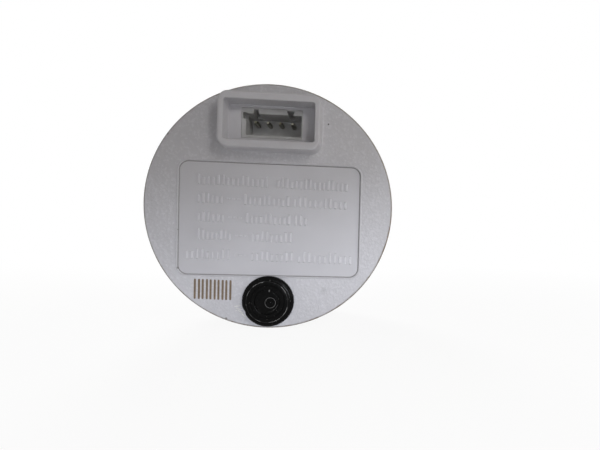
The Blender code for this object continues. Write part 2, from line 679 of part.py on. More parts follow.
def make_lamps():
    """Small light-emitting diodes on the board's front, under the frame's windows."""
    yellow = material("lamp_resin", "E8E4C8", 0.3)
    back = BOARD_FRONT_Y - SNUG
    for number, degrees in enumerate(LAMP_ANGLES, 1):
        shape = prism(box(LAMP_DEPTH, LAMP_WIDTH), back, back - LAMP_HEIGHT, LAMP_HEIGHT / 8)
        add_object(f"lamp_{number}", shape, yellow, on_circle(FASTENER_RADIUS, degrees), -degrees)


def board_part(name, size, place, finish):
    """A block on the back of the board, with a slight moulding taper."""
    width, height, rise = size
    low = BOARD_BACK_Y + SNUG
    return add_object(name, prism(box(width, height), low, low + rise, rise / 12), finish, place)


def make_board_parts():
    """What stands on the back of the board, beside the header."""
    resin = material("chip_resin", "1A1A1C", 0.5)
    board_part("processor", PROCESSOR, PROCESSOR_PLACE, resin)
    board_part("driver_chip", DRIVER_CHIP, DRIVER_CHIP_PLACE, resin)
    board_part("voltage_regulator", REGULATOR, REGULATOR_PLACE, resin)
    board_part("reverse_diode", DIODE, DIODE_PLACE, resin)
    low = BOARD_BACK_Y + SNUG
    top = low + CAPACITOR_HEIGHT
    crimp_y = low + CAPACITOR_HEIGHT / 4
    waist = CAPACITOR_R - CAPACITOR_CRIMP
    section = [(0.0, low), (CAPACITOR_R, low), (CAPACITOR_R, crimp_y), (waist, crimp_y + CAPACITOR_CRIMP),
               (CAPACITOR_R, crimp_y + 2 * CAPACITOR_CRIMP), (CAPACITOR_R, top - CAPACITOR_CRIMP), (waist, top),
               (0.0, top)]
    aluminium = material("can_aluminium", "C4C6C9", 0.3, 1.0)
    add_object("filter_capacitor", revolve(section, SMALL_ROUND), aluminium, CAPACITOR_PLACE)


def bearing(place, low, high):
    """A blind hole for a pivot."""
    return prism(circle(PIVOT_R + 2 * RUNNING, TINY_ROUND, *place), low, high)


def make_motor_case():
    """The movement's front shell, with the nose that the spindle turns in."""
    inner = MOTOR_R - MOTOR_WALL
    end = COVER_FRONT_Y - SEAT / 2
    bore = SPINDLE_R + RUNNING * 1.5
    nose_y = MOTOR_FRONT_Y - MOTOR_NOSE
    section = [(bore, nose_y), (MOTOR_NOSE_R, nose_y), (MOTOR_NOSE_R, MOTOR_FRONT_Y),
               (MOTOR_R, MOTOR_FRONT_Y), (MOTOR_R, end), (inner, end), (inner, WORKS_FRONT_Y), (bore, WORKS_FRONT_Y)]
    shell = add_object("motor_case", revolve(section, HALF_ROUND), white_plastic())
    deep = WORKS_FRONT_Y - PIVOT_DEPTH
    holes = [bearing(place, deep, WORKS_FRONT_Y + SEAT) for place in (LARGE_PLACE, ROTOR_PLACE)]
    combine(shell, "motor_case_bearings", merged(*holes), "DIFFERENCE")
    return shell


def make_motor_cover():
    """The movement's rear cover, with three bearings."""
    inner = MOTOR_R - MOTOR_WALL
    section = [(0.0, WORKS_BACK_Y), (inner, WORKS_BACK_Y), (inner, COVER_FRONT_Y + SEAT / 2),
               (MOTOR_R, COVER_FRONT_Y + SEAT / 2), (MOTOR_R, MOTOR_BACK_Y), (0.0, MOTOR_BACK_Y)]
    cover = add_object("motor_cover", revolve(section, HALF_ROUND), white_plastic())
    places = ((0.0, 0.0), LARGE_PLACE, ROTOR_PLACE)
    holes = [bearing(place, WORKS_BACK_Y - SEAT, WORKS_BACK_Y + PIVOT_DEPTH) for place in places]
    combine(cover, "motor_cover_bearings", merged(*holes), "DIFFERENCE")
    return cover


def arbor(front, back, front_r, back_r):
    """A round bar with thinner pivots where it runs in the walls."""
    return revolve([(0.0, front), (front_r, front), (front_r, back - PIVOT_DEPTH), (back_r, back - PIVOT_DEPTH),
                    (back_r, back), (0.0, back)], TINY_ROUND)


def make_output_wheel():
    """The last wheel of the train, on the spindle that carries the pointer."""
    toward_large = math.degrees(math.atan2(LARGE_PLACE[1], LARGE_PLACE[0]))
    disc = prism(gear_outline(OUTPUT_TEETH, toward_large), OUTPUT_Y, OUTPUT_Y + WHEEL_THICKNESS)
    wheel = add_object("output_wheel", disc, gear_plastic())
    spindle_front = pointer_back_y() - POINTER_THICKNESS
    end = WORKS_BACK_Y + PIVOT_DEPTH / 2
    spindle = [(0.0, spindle_front), (SPINDLE_R, spindle_front), (SPINDLE_R, end - PIVOT_DEPTH),
               (PIVOT_R, end - PIVOT_DEPTH), (PIVOT_R, end), (0.0, end)]
    combine(wheel, "output_spindle", revolve(spindle, SMALL_ROUND), "UNION")
    return wheel


def make_large_wheel():
    """The middle wheel: 96 teeth driven by the rotor, and a pinion that drives the output wheel."""
    disc = prism(gear_outline(LARGE_TEETH, 0.0), LARGE_Y, LARGE_Y + WHEEL_THICKNESS)
    wheel = add_object("intermediate_wheel", disc, gear_plastic(), LARGE_PLACE)
    gap_up = 90.0 + 180.0 / PINION_TEETH
    leaves = gear_outline(PINION_TEETH, gap_up, LEAF_SLIM)
    pinion = prism(leaves, OUTPUT_Y - LAYER_GAP / 2, LARGE_Y + WHEEL_THICKNESS / 2)
    combine(wheel, "intermediate_pinion", pinion, "UNION", LARGE_PLACE)
    front = WORKS_FRONT_Y - PIVOT_DEPTH / 2
    back = WORKS_BACK_Y + PIVOT_DEPTH / 2
    combine(wheel, "intermediate_arbor", arbor(front, back, PIVOT_R, PIVOT_R), "UNION", LARGE_PLACE)
    return wheel


def make_rotor():
    """The round magnet and its pinion."""
    end = MAGNET_Y + MAGNET_LENGTH
    chamfer = MAGNET_R / 10
    magnet = [(0.0, MAGNET_Y), (MAGNET_R - chamfer, MAGNET_Y), (MAGNET_R, MAGNET_Y + chamfer),
              (MAGNET_R, end - chamfer), (MAGNET_R - chamfer, end), (0.0, end)]
    black = material("ferrite", "2B2B2D", 0.55)
    rotor = add_object("rotor", revolve(magnet, SMALL_ROUND), black, ROTOR_PLACE)
    gap_left = 180.0 + 180.0 / PINION_TEETH
    leaves = gear_outline(PINION_TEETH, gap_left, LEAF_SLIM)
    pinion = prism(leaves, LARGE_Y - LAYER_GAP / 2, MAGNET_Y + chamfer)
    combine(rotor, "rotor_pinion", pinion, "UNION", ROTOR_PLACE)
    front = WORKS_FRONT_Y - PIVOT_DEPTH / 2
    back = WORKS_BACK_Y + PIVOT_DEPTH / 2
    combine(rotor, "rotor_arbor", arbor(front, back, PIVOT_R, PIVOT_R), "UNION", ROTOR_PLACE)
    return rotor


def coil_lines():
    """Middle point and direction of each coil: one beside the rotor going up, one below it going left."""
    reach = MAGNET_R + AIR_GAP + POLE_RING / 2
    clear = MAGNET_R + AIR_GAP + POLE_RING + SNUG + COIL_LENGTH / 2
    upright = (ROTOR_PLACE[0] + reach, ROTOR_PLACE[1] + clear)
    level = (ROTOR_PLACE[0] - clear, ROTOR_PLACE[1] - reach)
    return upright, level


def make_stator():
    """The soft-iron plate: a pole ring round the rotor, a core through each coil and the yoke."""
    upright, level = coil_lines()
    back = STATOR_Y + STATOR_THICKNESS
    inner = MAGNET_R + AIR_GAP
    outline = [(inner, STATOR_Y), (inner + POLE_RING, STATOR_Y), (inner + POLE_RING, back), (inner, back)]
    stator = add_object("stator", revolve(outline, SMALL_ROUND), soft_iron(), ROTOR_PLACE)
    yoke_outer = MOTOR_R - MOTOR_WALL - SEAT
    yoke_inner = yoke_outer - YOKE_WIDTH
    up_end = math.sqrt(yoke_inner ** 2 - upright[0] ** 2) + YOKE_WIDTH / 2
    core_low = ROTOR_PLACE[1] + POLE_RING
    core = box(CORE_WIDTH, up_end - core_low, upright[0], (up_end + core_low) / 2)
    combine(stator, "upright_core", prism(core, STATOR_Y, back), "UNION")
    left_end = -math.sqrt(yoke_inner ** 2 - level[1] ** 2) - YOKE_WIDTH / 2
    core_right = ROTOR_PLACE[0] - POLE_RING
    core = box(core_right - left_end, CORE_WIDTH, (left_end + core_right) / 2, level[1])
    combine(stator, "level_core", prism(core, STATOR_Y, back), "UNION")
    start = math.degrees(math.atan2(up_end, upright[0])) - 6
    stop = 360 + math.degrees(math.atan2(level[1], left_end)) + 6
    steps = 22
    turn = [math.radians(start + (stop - start) * i / steps) for i in range(steps + 1)]
    arc = [(yoke_outer * math.cos(a), yoke_outer * math.sin(a)) for a in turn]
    arc += [(yoke_inner * math.cos(a), yoke_inner * math.sin(a)) for a in reversed(turn)]
    combine(stator, "yoke", prism(arc, STATOR_Y, back), "UNION")
    return stator


def make_coils():
    """The two windings on their bobbins, slid over the stator's cores."""
    upright, level = coil_lines()
    bore = math.hypot(CORE_WIDTH, STATOR_THICKNESS) / 2 + SNUG
    half = COIL_LENGTH / 2
    wire_r = COIL_R - COIL_WALL / 2
    section = [(bore, -half), (COIL_R, -half), (COIL_R, -half + COIL_FLANGE), (wire_r, -half + COIL_FLANGE),
               (wire_r, half - COIL_FLANGE), (COIL_R, half - COIL_FLANGE), (COIL_R, half), (bore, half)]
    copper = material("enamelled_copper", "9C5A2E", 0.3, 0.8)
    middle_y = STATOR_Y + STATOR_THICKNESS / 2
    for name, place, axis in (("coil_right", upright, "X"), ("coil_left", level, "Z")):
        shape = revolve(section, TINY_ROUND + 4)
        bmesh.ops.transform(shape, matrix=Matrix.Rotation(math.pi / 2, 4, axis), verts=shape.verts)
        bmesh.ops.translate(shape, vec=(0.0, middle_y, 0.0), verts=shape.verts)
        add_object(name, shape, copper, place)


def pointer_back_y():
    """The rear face of the needle's blade."""
    return DIAL_FRONT_Y - POINTER_ABOVE_DIAL


def make_pointer():
    """The needle: a tapered blade with a tail, on a hub that is pushed onto the spindle."""
    back = pointer_back_y()
    front = back - POINTER_THICKNESS
    root = POINTER_ROOT_WIDTH / 2
    tip = POINTER_TIP_WIDTH / 2
    blade = [(-root, -POINTER_TAIL), (root, -POINTER_TAIL), (root, 0.0), (tip, POINTER_LENGTH - tip),
             (0.0, POINTER_LENGTH), (-tip, POINTER_LENGTH - tip), (-root, 0.0)]
    orange = material("needle_red", "D03A1C", 0.4)
    needle = add_object("pointer", prism(blade, front, back), orange, (0.0, 0.0), EMPTY_ANGLE)
    hub_back = DIAL_FRONT_Y - 2 * SEAT
    hub_front = front - POINTER_THICKNESS
    hub = [(0.0, hub_front), (POINTER_HUB_R, hub_front), (POINTER_HUB_R, back), (POINTER_HUB_R / 2, back),
           (POINTER_HUB_R / 2, hub_back), (0.0, hub_back)]
    combine(needle, "pointer_hub", revolve(hub, SMALL_ROUND), "UNION")
    bore = revolve([(0.0, front - RUNNING * 2), (SPINDLE_R + RUNNING, front - RUNNING * 2),
                    (SPINDLE_R + RUNNING, DIAL_FRONT_Y), (0.0, DIAL_FRONT_Y)], SMALL_ROUND)
    combine(needle, "pointer_bore", bore, "DIFFERENCE")
    return needle


def make_pointer_cap():
    """The round cap over the needle's hub, a shallow shell."""
    hub_front = pointer_back_y() - 2 * POINTER_THICKNESS
    inside = hub_front - SNUG
    front = inside - CAP_WALL
    skirt = hub_front + CAP_SKIRT - POINTER_THICKNESS / 2
    inner = CAP_R - CAP_WALL
    section = [(0.0, front), (inner, front), (CAP_R, front + CAP_WALL), (CAP_R, skirt), (inner, skirt),
               (inner, inside), (0.0, inside)]
    return add_object("pointer_cap", revolve(section, SMALL_ROUND), black_plastic(), (0.0, 0.0), EMPTY_ANGLE)


def main():
    clear_scene()
    make_rear_case()
    make_header()
    make_pins()
    make_plug()
    make_bezel()
    make_lens()
    make_gasket()
    make_case_seal()
    make_visor()
    make_dial()
    make_light_frame()
    make_board()
    make_screws()
    make_lamps()
    make_board_parts()
    make_motor_case()
    make_motor_cover()
    make_output_wheel()
    make_large_wheel()
    make_rotor()
    make_stator()
    make_coils()
    make_pointer()
    make_pointer_cap()


main()
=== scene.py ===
"""The looks of a round panel fuel gauge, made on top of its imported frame.

Metres, in the frame of the model: the dial faces -Y, the back faces +Y and the connector is at the top.
"""
from math import atan2, cos, degrees, hypot, pi, radians, sin

import bmesh
import bpy
from bpy.props import FloatProperty, FloatVectorProperty, IntProperty, PointerProperty
from bpy.types import Node, NodeSocket, Operator, Panel, PropertyGroup
from mathutils import Matrix, Vector


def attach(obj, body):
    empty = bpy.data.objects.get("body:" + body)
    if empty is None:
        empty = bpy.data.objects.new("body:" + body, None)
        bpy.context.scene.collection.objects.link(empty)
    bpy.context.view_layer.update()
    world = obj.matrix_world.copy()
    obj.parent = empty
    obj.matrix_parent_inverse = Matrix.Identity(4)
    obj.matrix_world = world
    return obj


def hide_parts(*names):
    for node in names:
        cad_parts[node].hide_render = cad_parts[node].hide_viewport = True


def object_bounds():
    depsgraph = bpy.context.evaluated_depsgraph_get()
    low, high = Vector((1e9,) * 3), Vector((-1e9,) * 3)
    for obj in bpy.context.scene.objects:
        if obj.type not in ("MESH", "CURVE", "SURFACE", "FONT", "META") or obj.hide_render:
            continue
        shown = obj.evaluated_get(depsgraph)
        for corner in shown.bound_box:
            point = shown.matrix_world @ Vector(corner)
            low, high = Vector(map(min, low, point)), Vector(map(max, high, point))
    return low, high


bl_info = {
    "name": "Fuel gauge looks",
    "version": (1, 0, 0),
    "blender": (4, 5, 0),
    "location": "3D View > Sidebar > Fuel gauge",
    "description": "Dresses the packed frame of a round panel fuel gauge and sets its studio",
    "category": "Object",
}

MM = 0.001

# Places on the frame, in millimetres. A triple is a width, a height and the height of its middle.
BACK = 23.2                 # the back face
BACK_INSIDE = 21.0
CASE_R = 25.0
CASE_BORE = 23.0
SHOULDER = 0.25             # the case's shoulder, behind the bezel
NECK_R = 23.95              # the neck that the bezel snaps over
NECK_BORE = 22.45
NECK_END = -3.0
GROOVE_R = 23.1             # the seal's groove, at the neck's foot
GROOVE_END = -1.01
BEAD = -2.3                 # the middle of the snap bead
COLLAR = (20.25, 11.35, 16.727)
COLLAR_TOP = BACK + 4.05
COLLAR_CORNER = 2.3
HEADER = (12.3, 6.1, 16.847)
HEADER_FOOT = 16.02
HEADER_FLOOR = 17.37
HEADER_RIM = 23.31
CAVITY = (11.05, 4.32, 16.6)
PINS_HEIGHT = 17.497
PANEL = (36.41, 23.01, -2.7175)
PANEL_CORNER = 1.9
PLUG_HEIGHT = -19.352       # of the plug's middle
PLUG_R = 5.2
PLUG_HOLE_R = 2.8
PLUG_TOP = BACK + 1.85
BOSS = (-0.62, -0.15)       # the plug's boss, from the plug's middle
BEZEL_R = 25.5
BEZEL_BORE = 24.2
FRONT = -7.25               # the bezel's front
LENS = -6.0                 # the lens's front
LENS_R = 23.9
LENS_THICKNESS = 1.5
DIAL = 1.45                 # the dial's front
DIAL_BACK = 2.05
DIAL_R = 22.2
DIAL_HOLE_R = 1.5
POST_ANGLES = (20, 160, 236, 304)
POST_CIRCLE = 18.177
POST_R = 2.0
PILOT_R = 1.02              # of the screws' holes in the posts
PAST = 0.25                 # how far a cutting body reaches past the face that it opens

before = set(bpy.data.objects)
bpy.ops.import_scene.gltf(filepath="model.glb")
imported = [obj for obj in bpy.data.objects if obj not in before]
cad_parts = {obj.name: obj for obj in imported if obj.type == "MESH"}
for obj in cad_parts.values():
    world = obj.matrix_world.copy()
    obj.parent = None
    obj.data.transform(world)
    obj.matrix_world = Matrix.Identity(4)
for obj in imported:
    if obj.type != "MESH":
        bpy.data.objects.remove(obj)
cad_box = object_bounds()


def srgb(code):
    """A hex colour as linear light, with alpha 1."""
    channels = []
    for i in (0, 2, 4):
        c = int(code[i:i + 2], 16) / 255
        channels.append(c / 12.92 if c <= 0.04045 else ((c + 0.055) / 1.055) ** 2.4)
    return (*channels, 1.0)


def at(*place):
    """A place in millimetres, as metres."""
    return Vector([c * MM for c in place])


def add_object(name, data):
    made = bpy.data.objects.new(name, data)
    bpy.context.scene.collection.objects.link(made)
    return made


# Nodes

def node(tree, kind, inputs=None, **settings):
    """Adds a node with its settings, and fills its inputs with values, sockets or the first outputs of nodes."""
    made = tree.nodes.new(kind)
    for name, value in settings.items():
        setattr(made, name, value)
    for name, value in (inputs or {}).items():
        if isinstance(value, Node):
            value = value.outputs[0]
        if isinstance(value, NodeSocket):
            tree.links.new(value, made.inputs[name])
        else:
            made.inputs[name].default_value = value
    return made


def calc(tree, operation, *values, **settings):
    """The result of a Math node."""
    return node(tree, "ShaderNodeMath", dict(enumerate(values)), operation=operation, **settings).outputs[0]


def ramp(tree, value, low, high, first=0.0, last=1.0):
    """Goes from first to last while a value goes from low to high."""
    inputs = {"Value": value, "From Min": low, "From Max": high, "To Min": first, "To Max": last}
    return node(tree, "ShaderNodeMapRange", inputs).outputs[0]


def noise(tree, place, size, detail):
    """A noise from 0 to 1, with patches of about a size in millimetres."""
    made = node(tree, "ShaderNodeTexNoise", {"Vector": place, "Scale": 1 / (size * MM), "Detail": detail})
    return made.outputs["Fac"]


def mixed(tree, amount, first, second):
    """A colour between two others."""
    return node(tree, "ShaderNodeMix", {0: amount, 6: first, 7: second}, data_type="RGBA").outputs[2]


# Outlines and bodies

def rounded(width, height, corner, middle=0.0, steps=7, across=0.0):
    """The (x, z) outline of a rectangle with round corners, in millimetres."""
    points = []
    for quarter, (sign_x, sign_z) in enumerate(((1, 1), (-1, 1), (-1, -1), (1, -1))):
        centre = (across + sign_x * (width / 2 - corner), middle + sign_z * (height / 2 - corner))
        for i in range(steps + 1):
            a = pi / 2 * (quarter + i / steps)
            points.append((centre[0] + corner * cos(a), centre[1] + corner * sin(a)))
    return points


def disc(radius, count, across=0.0, middle=0.0):
    turn = [2 * pi * i / count for i in range(count)]
    return [(across + radius * cos(a), middle + radius * sin(a)) for a in turn]


def fillet(radius, depth, r, start, stop, steps=5):
    """Points of a section's round corner, about (radius, depth), from one angle to another in degrees."""
    turn = [radians(start + (stop - start) * i / steps) for i in range(steps + 1)]
    return [(radius + r * cos(a), depth + r * sin(a)) for a in turn]


def bead(radius):
    """Points of the snap bead's section, on a wall of the given radius."""
    half = 0.35
    return [(radius, BEAD - half), (radius + 0.2, BEAD), (radius, BEAD + half)]


def levels(size, corner, rows, steps=7, across=0.0, least=0.0):
    """(outline, depth) levels of a rounded rectangle, from rows of (depth, inset) and its size as a triple."""
    width, height, middle = size
    return [(rounded(width - 2 * inset, height - 2 * inset, max(least, corner - inset), middle, steps, across), depth)
            for depth, inset in rows]


def stack(rows, ring=False):
    """A closed skin over (outline, depth) levels with equal counts of points; a ring joins its last to its first."""
    shape = bmesh.new()
    rings = [[shape.verts.new(at(x, depth, z)) for x, z in outline] for outline, depth in rows]
    if ring:
        rings.append(rings[0])
    else:
        shape.faces.new(rings[0])
        shape.faces.new(rings[-1])
    for low, high in zip(rings, rings[1:]):
        for i in range(len(low)):
            j = (i + 1) % len(low)
            shape.faces.new((low[i], low[j], high[j], high[i]))
    return shape


def prism(outline, start, stop):
    """An outline's straight body between two depths."""
    return stack([(outline, start), (outline, stop)])


def turned(section, count, across=0.0, middle=0.0):
    """A body of revolution from (radius, depth) points: a closed loop, or from the axis to the axis."""
    shape = bmesh.new()
    rings = []
    for radius, depth in section:
        circle = disc(radius, count, across, middle) if radius else [(across, middle)]
        rings.append([shape.verts.new(at(x, depth, z)) for x, z in circle])
    pairs = list(zip(rings, rings[1:]))
    if len(rings[0]) > 1:
        pairs.append((rings[-1], rings[0]))
    for first, second in pairs:
        for i in range(count):
            j = (i + 1) % count
            corners = [first[i % len(first)], first[j % len(first)],
                       second[j % len(second)], second[i % len(second)]]
            unique = list(dict.fromkeys(corners))
            if len(unique) > 2:
                shape.faces.new(unique)
    return shape


def joined(shapes):
    """Several shapes that stand clear of each other, as one."""
    whole = bmesh.new()
    for part in shapes:
        carrier = bpy.data.meshes.new("carrier")
        part.to_mesh(carrier)
        part.free()
        whole.from_mesh(carrier)
        bpy.data.meshes.remove(carrier)
    return whole


def solid(name, shape):
    """Turns a shape into an object at the origin."""
    bmesh.ops.remove_doubles(shape, verts=shape.verts, dist=1e-7)
    bmesh.ops.recalc_face_normals(shape, faces=shape.faces)
    mesh = bpy.data.meshes.new(name)
    shape.to_mesh(mesh)
    shape.free()
    return add_object(name, mesh)


def bake(made):
    """Replaces an object's mesh with its evaluated one, and takes its modifiers off."""
    graph = bpy.context.evaluated_depsgraph_get()
    old = made.data
    evaluated = made.evaluated_get(graph)
    mesh = bpy.data.meshes.new_from_object(evaluated, preserve_all_data_layers=True, depsgraph=graph)
    made.modifiers.clear()
    made.data = mesh
    bpy.data.meshes.remove(old)


def combine(target, shape, operation):
    """Adds a shape to an object or cuts it away."""
    tool = solid("tool", shape)
    modifier = target.modifiers.new("shape", "BOOLEAN")
    modifier.operation = operation
    modifier.solver = "EXACT"
    modifier.object = tool
    bake(target)
    mesh = tool.data
    bpy.data.objects.remove(tool)
    bpy.data.meshes.remove(mesh)


def new_tree(name, **inputs):
    """A Geometry Nodes tree with inputs of the given kinds, and the outputs of its input node."""
    tree = bpy.data.node_groups.new(name, "GeometryNodeTree")
    for label, kind in inputs.items():
        tree.interface.new_socket(label, in_out="INPUT", socket_type="NodeSocket" + kind)
    tree.interface.new_socket("Geometry", in_out="OUTPUT", socket_type="NodeSocketGeometry")
    return tree, node(tree, "NodeGroupInput").outputs


def stamp(tree, points, shape, turn, size, finish):
    """Stands a shape on each point as the tree's result, in its material."""
    inputs = {"Points": points, "Instance": shape, "Rotation": turn, "Scale": size}
    stood = node(tree, "GeometryNodeInstanceOnPoints", inputs)
    real = node(tree, "GeometryNodeRealizeInstances", {"Geometry": stood})
    dressed = node(tree, "GeometryNodeSetMaterial", {"Geometry": real, "Material": finish})
    node(tree, "NodeGroupOutput", {0: dressed})


def grown(name, mesh, tree, values):
    """An object with what a tree makes of a mesh and of values for its inputs."""
    made = add_object(name, mesh)
    modifier = made.modifiers.new("grown", "NODES")
    modifier.node_group = tree
    for socket in tree.interface.items_tree:
        if socket.in_out == "INPUT" and socket.name in values:
            modifier[socket.identifier] = values[socket.name]
    bake(made)
    return made


def finished(made, finish, replaced=(), body="housing"):
    """Smooths an object's shading, gives it its material and tells the frame what it is."""
    made.data.materials.clear()
    made.data.materials.append(finish)
    made.data.shade_smooth()
    made.data.set_sharp_from_angle(angle=radians(30))
    weighted = made.modifiers.new("weighted", "WEIGHTED_NORMAL")
    weighted.keep_sharp = True
    bake(made)
    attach(made, body)
    if replaced:
        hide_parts(*replaced)
    return made


def dress(finish, *names):
    """Gives CAD nodes a better material."""
    for name in names:
        mesh_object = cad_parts[name]
        if not mesh_object.material_slots:
            mesh_object.data.materials.append(finish)
        for held in mesh_object.material_slots:
            held.material = finish


# Materials

def layered(name, colour, shade, patch, grain, depth, roughness, spread=0.08, metallic=0.0, level=0.5):
    """A Principled surface that drifts from colour to shade over patches, with a grain in its height and gloss.

    patch, grain and depth are millimetres. Returns the material and its open ends for further layers.
    """
    made = bpy.data.materials.new(name)
    made.use_nodes = True
    tree = made.node_tree
    tree.nodes.clear()
    place = node(tree, "ShaderNodeTexCoord").outputs["Object"]
    drift = ramp(tree, noise(tree, place, patch, 3.0), 0.3, 0.7)
    fine = noise(tree, place, grain, 2.0)
    tone = mixed(tree, drift, (*colour[:3], 1.0), (*shade[:3], 1.0))
    gloss = ramp(tree, fine, 0.3, 0.7, max(0.02, roughness - spread), roughness + spread)
    bump = node(tree, "ShaderNodeBump", {"Height": fine, "Strength": 1.0, "Distance": depth * MM})
    inputs = {"Base Color": tone, "Roughness": gloss, "Normal": bump, "Metallic": metallic}
    shader = node(tree, "ShaderNodeBsdfPrincipled", inputs)
    if not metallic:
        shader.inputs["Specular IOR Level"].default_value = level
    out = node(tree, "ShaderNodeOutputMaterial", {"Surface": shader})
    return made, {"tree": tree, "place": place, "colour": tone, "shader": shader, "fine": fine, "bump": bump,
                  "out": out}


def over(ends, code, mask, strength=1.0):
    """Lays a hex colour over what a material has so far, where a mask says."""
    tree = ends["tree"]
    amount = calc(tree, "MULTIPLY", mask, strength, use_clamp=True)
    ends["colour"] = mixed(tree, amount, ends["colour"], srgb(code))
    tree.links.new(ends["colour"], ends["shader"].inputs["Base Color"])


def near(ends, place, inner, outer):
    """A mask that is 1 within inner millimetres of a place and fades to 0 at outer."""
    tree = ends["tree"]
    away = node(tree, "ShaderNodeVectorMath", {0: ends["place"], 1: at(*place)}, operation="DISTANCE")
    return ramp(tree, away.outputs["Value"], outer * MM, inner * MM)


def from_axis(ends, x=0.0, z=0.0):
    """The distance from a line along Y through (x, z), which are millimetres."""
    inputs = {"Vector": ends["place"], "Scale": (1.0, 0.0, 1.0), "Location": at(-x, 0.0, -z)}
    flat = node(ends["tree"], "ShaderNodeMapping", inputs)
    return node(ends["tree"], "ShaderNodeVectorMath", {0: flat}, operation="LENGTH").outputs["Value"]


def case_plastic(settings):
    """Injection-moulded ABS from a spark-eroded tool: pale grey, with a fine sparkle where light grazes it."""
    grey = settings.plastic
    made, ends = layered("moulded_abs_spark_texture", grey, tuple(c * 0.94 for c in grey), 9.0, settings.grain,
                         settings.grain_depth, 0.42, spread=0.12, level=0.35)
    tree = ends["tree"]
    # Only the flat of the back has the spark texture; the recess and the collar were polished in the tool.
    depth = node(tree, "ShaderNodeSeparateXYZ", {"Vector": ends["place"]}).outputs["Y"]
    flat = calc(tree, "COMPARE", depth, BACK * MM, 0.13 * MM)
    tree.links.new(calc(tree, "MULTIPLY_ADD", flat, 0.88, 0.12), ends["bump"].inputs["Strength"])
    # The tool's pits are about 0.05 mm; they are drawn at half a millimetre, so that they show at this distance.
    # Their pale specks are partly painted sparkle: they also stand in for glints of light on the texture.
    over(ends, "F4F4F8", calc(tree, "MULTIPLY", ramp(tree, ends["fine"], 0.5, 0.72), flat), 0.2)
    # Painted shade: a darker grey on the recess's wall, and on the walls of the slot and the plug's hole at that
    # depth, draws a thin dark line round the panel, for the shade in that corner.
    away = from_axis(ends)
    inside = calc(tree, "SUBTRACT", 1.0, ramp(tree, away, 23.4 * MM, 23.6 * MM))
    wall = calc(tree, "COMPARE", depth, (BACK - 0.17) * MM, 0.12 * MM)
    over(ends, "7E7C7A", calc(tree, "MULTIPLY", wall, inside), 0.75)
    # Painted shade: a brown line on the rounded edge of the back, for the shade where the edge falls away, broken up
    # by a coarse noise.
    edge_shade = calc(tree, "MULTIPLY", ramp(tree, away, 24.6 * MM, 24.85 * MM), noise(tree, ends["place"], 1.6, 3.0))
    back_only = ramp(tree, depth, (BACK - 0.6) * MM, (BACK - 0.35) * MM)
    over(ends, "5E4C30", calc(tree, "MULTIPLY", edge_shade, back_only), 1.5)
    # A speck beside the collar, a faint stain, two nicks in the edge and dirt along the recess's left.
    for x, z, inner, outer, code, strength in (
            (-11.31, 17.4, 0.12, 0.22, "2A2622", 0.9), (-11.24, -17.0, 0.15, 0.8, "8A8A8C", 0.35),
            (20.55, 14.0, 0.1, 0.45, "3A3028", 0.8), (8.4, -23.1, 0.1, 0.35, "4A4036", 0.7),
            (18.1, -5.2, 0.08, 0.22, "4A443C", 0.7), (18.05, -12.9, 0.1, 0.35, "4A443C", 0.6)):
        over(ends, code, near(ends, (x, BACK, z), inner, outer), strength)
    return made


def rubber(settings):
    """Moulded nitrile rubber: near black and glossy where it was pressed, with dust in its grooves and painted
    highlights on its rings, boss and gate.
    """
    made, ends = layered("moulded_nitrile_rubber", settings.rubber, srgb("040404"), 2.0, 0.7, 0.02, 0.2,
                         spread=0.06, level=0.06)
    tree = ends["tree"]
    specks = ramp(tree, noise(tree, ends["place"], 0.3, 1.0), 0.73, 0.8)
    over(ends, "8C8B84", specks, settings.dust)
    # Painted highlights: the raised rings, the boss and the gate's nub are painted pale here and there, for the
    # glints of light on them.
    glint_grey = "8E8E8C"
    broken = ramp(tree, noise(tree, ends["place"], 1.7, 2.0), 0.5, 0.62)
    middle = (0.0, 0.0)
    rings = ((middle, 4.16, 0.75, 0.1), (middle, 2.1, 0.25, 0.0), (BOSS, 1.04, 0.8, 0.45))
    for centre, radius, strength, least in rings:
        away = from_axis(ends, centre[0], PLUG_HEIGHT + centre[1])
        band = calc(tree, "COMPARE", away, radius * MM, 0.05 * MM)
        amount = calc(tree, "MAXIMUM", broken, least)
        over(ends, glint_grey, calc(tree, "MULTIPLY", band, amount), strength)
    over(ends, glint_grey, near(ends, (-0.4, PLUG_TOP - 0.05, PLUG_HEIGHT + 2.3), 0.08, 0.3), 0.5)
    return made


def plain(name, colour, shade, *values, **more):
    """A layered material from two hex colours, made at its first use."""
    return bpy.data.materials.get(name) or layered(name, srgb(colour), srgb(shade), *values, **more)[0]


def black_abs(colour):
    """Black ABS from a satin tool, made at its first use."""
    name = "moulded_black_abs"
    shade = tuple(c * 1.5 for c in colour[:3])
    return bpy.data.materials.get(name) or layered(name, colour, shade, 5.0, 0.22, 0.012, 0.36, level=0.4)[0]


# What a user would change

def colour(name, what, code):
    return FloatVectorProperty(name=name, description=what, subtype="COLOR", default=srgb(code)[:3], min=0.0, max=1.0)


def number(name, what, default, low=0.0, **more):
    return FloatProperty(name=name, description=what, default=default, min=low, **more)


def length(name, what, default):
    return FloatProperty(name=name, description=what, default=default, unit="LENGTH", precision=5)


class CaseSettings(PropertyGroup):
    plastic: colour("Plastic", "Colour of the moulded case", "C4C3C7")
    grain: number("Grain", "Size of the moulded texture, in millimetres", 0.5, 0.05)
    grain_depth: number("Grain depth", "Height of the texture, in millimetres", 0.08)
    rim_round: number("Rim rounding", "Radius on the collar's rim, in millimetres", 0.4, 0.05, max=0.5)


class LabelSettings(PropertyGroup):
    bar_height: length("Bar height", "Height of a raised bar", 2.25 * MM)
    bar_rise: length("Rise", "How far the bars stand up from the panel", 0.2 * MM)
    marking: colour("Laser marking", "Colour of the burnt bars", "513D27")


class PlugSettings(PropertyGroup):
    rubber: colour("Rubber", "Colour of the plug", "080808")
    dust: number("Dust", "How strongly dust shows", 0.5, max=1.0)


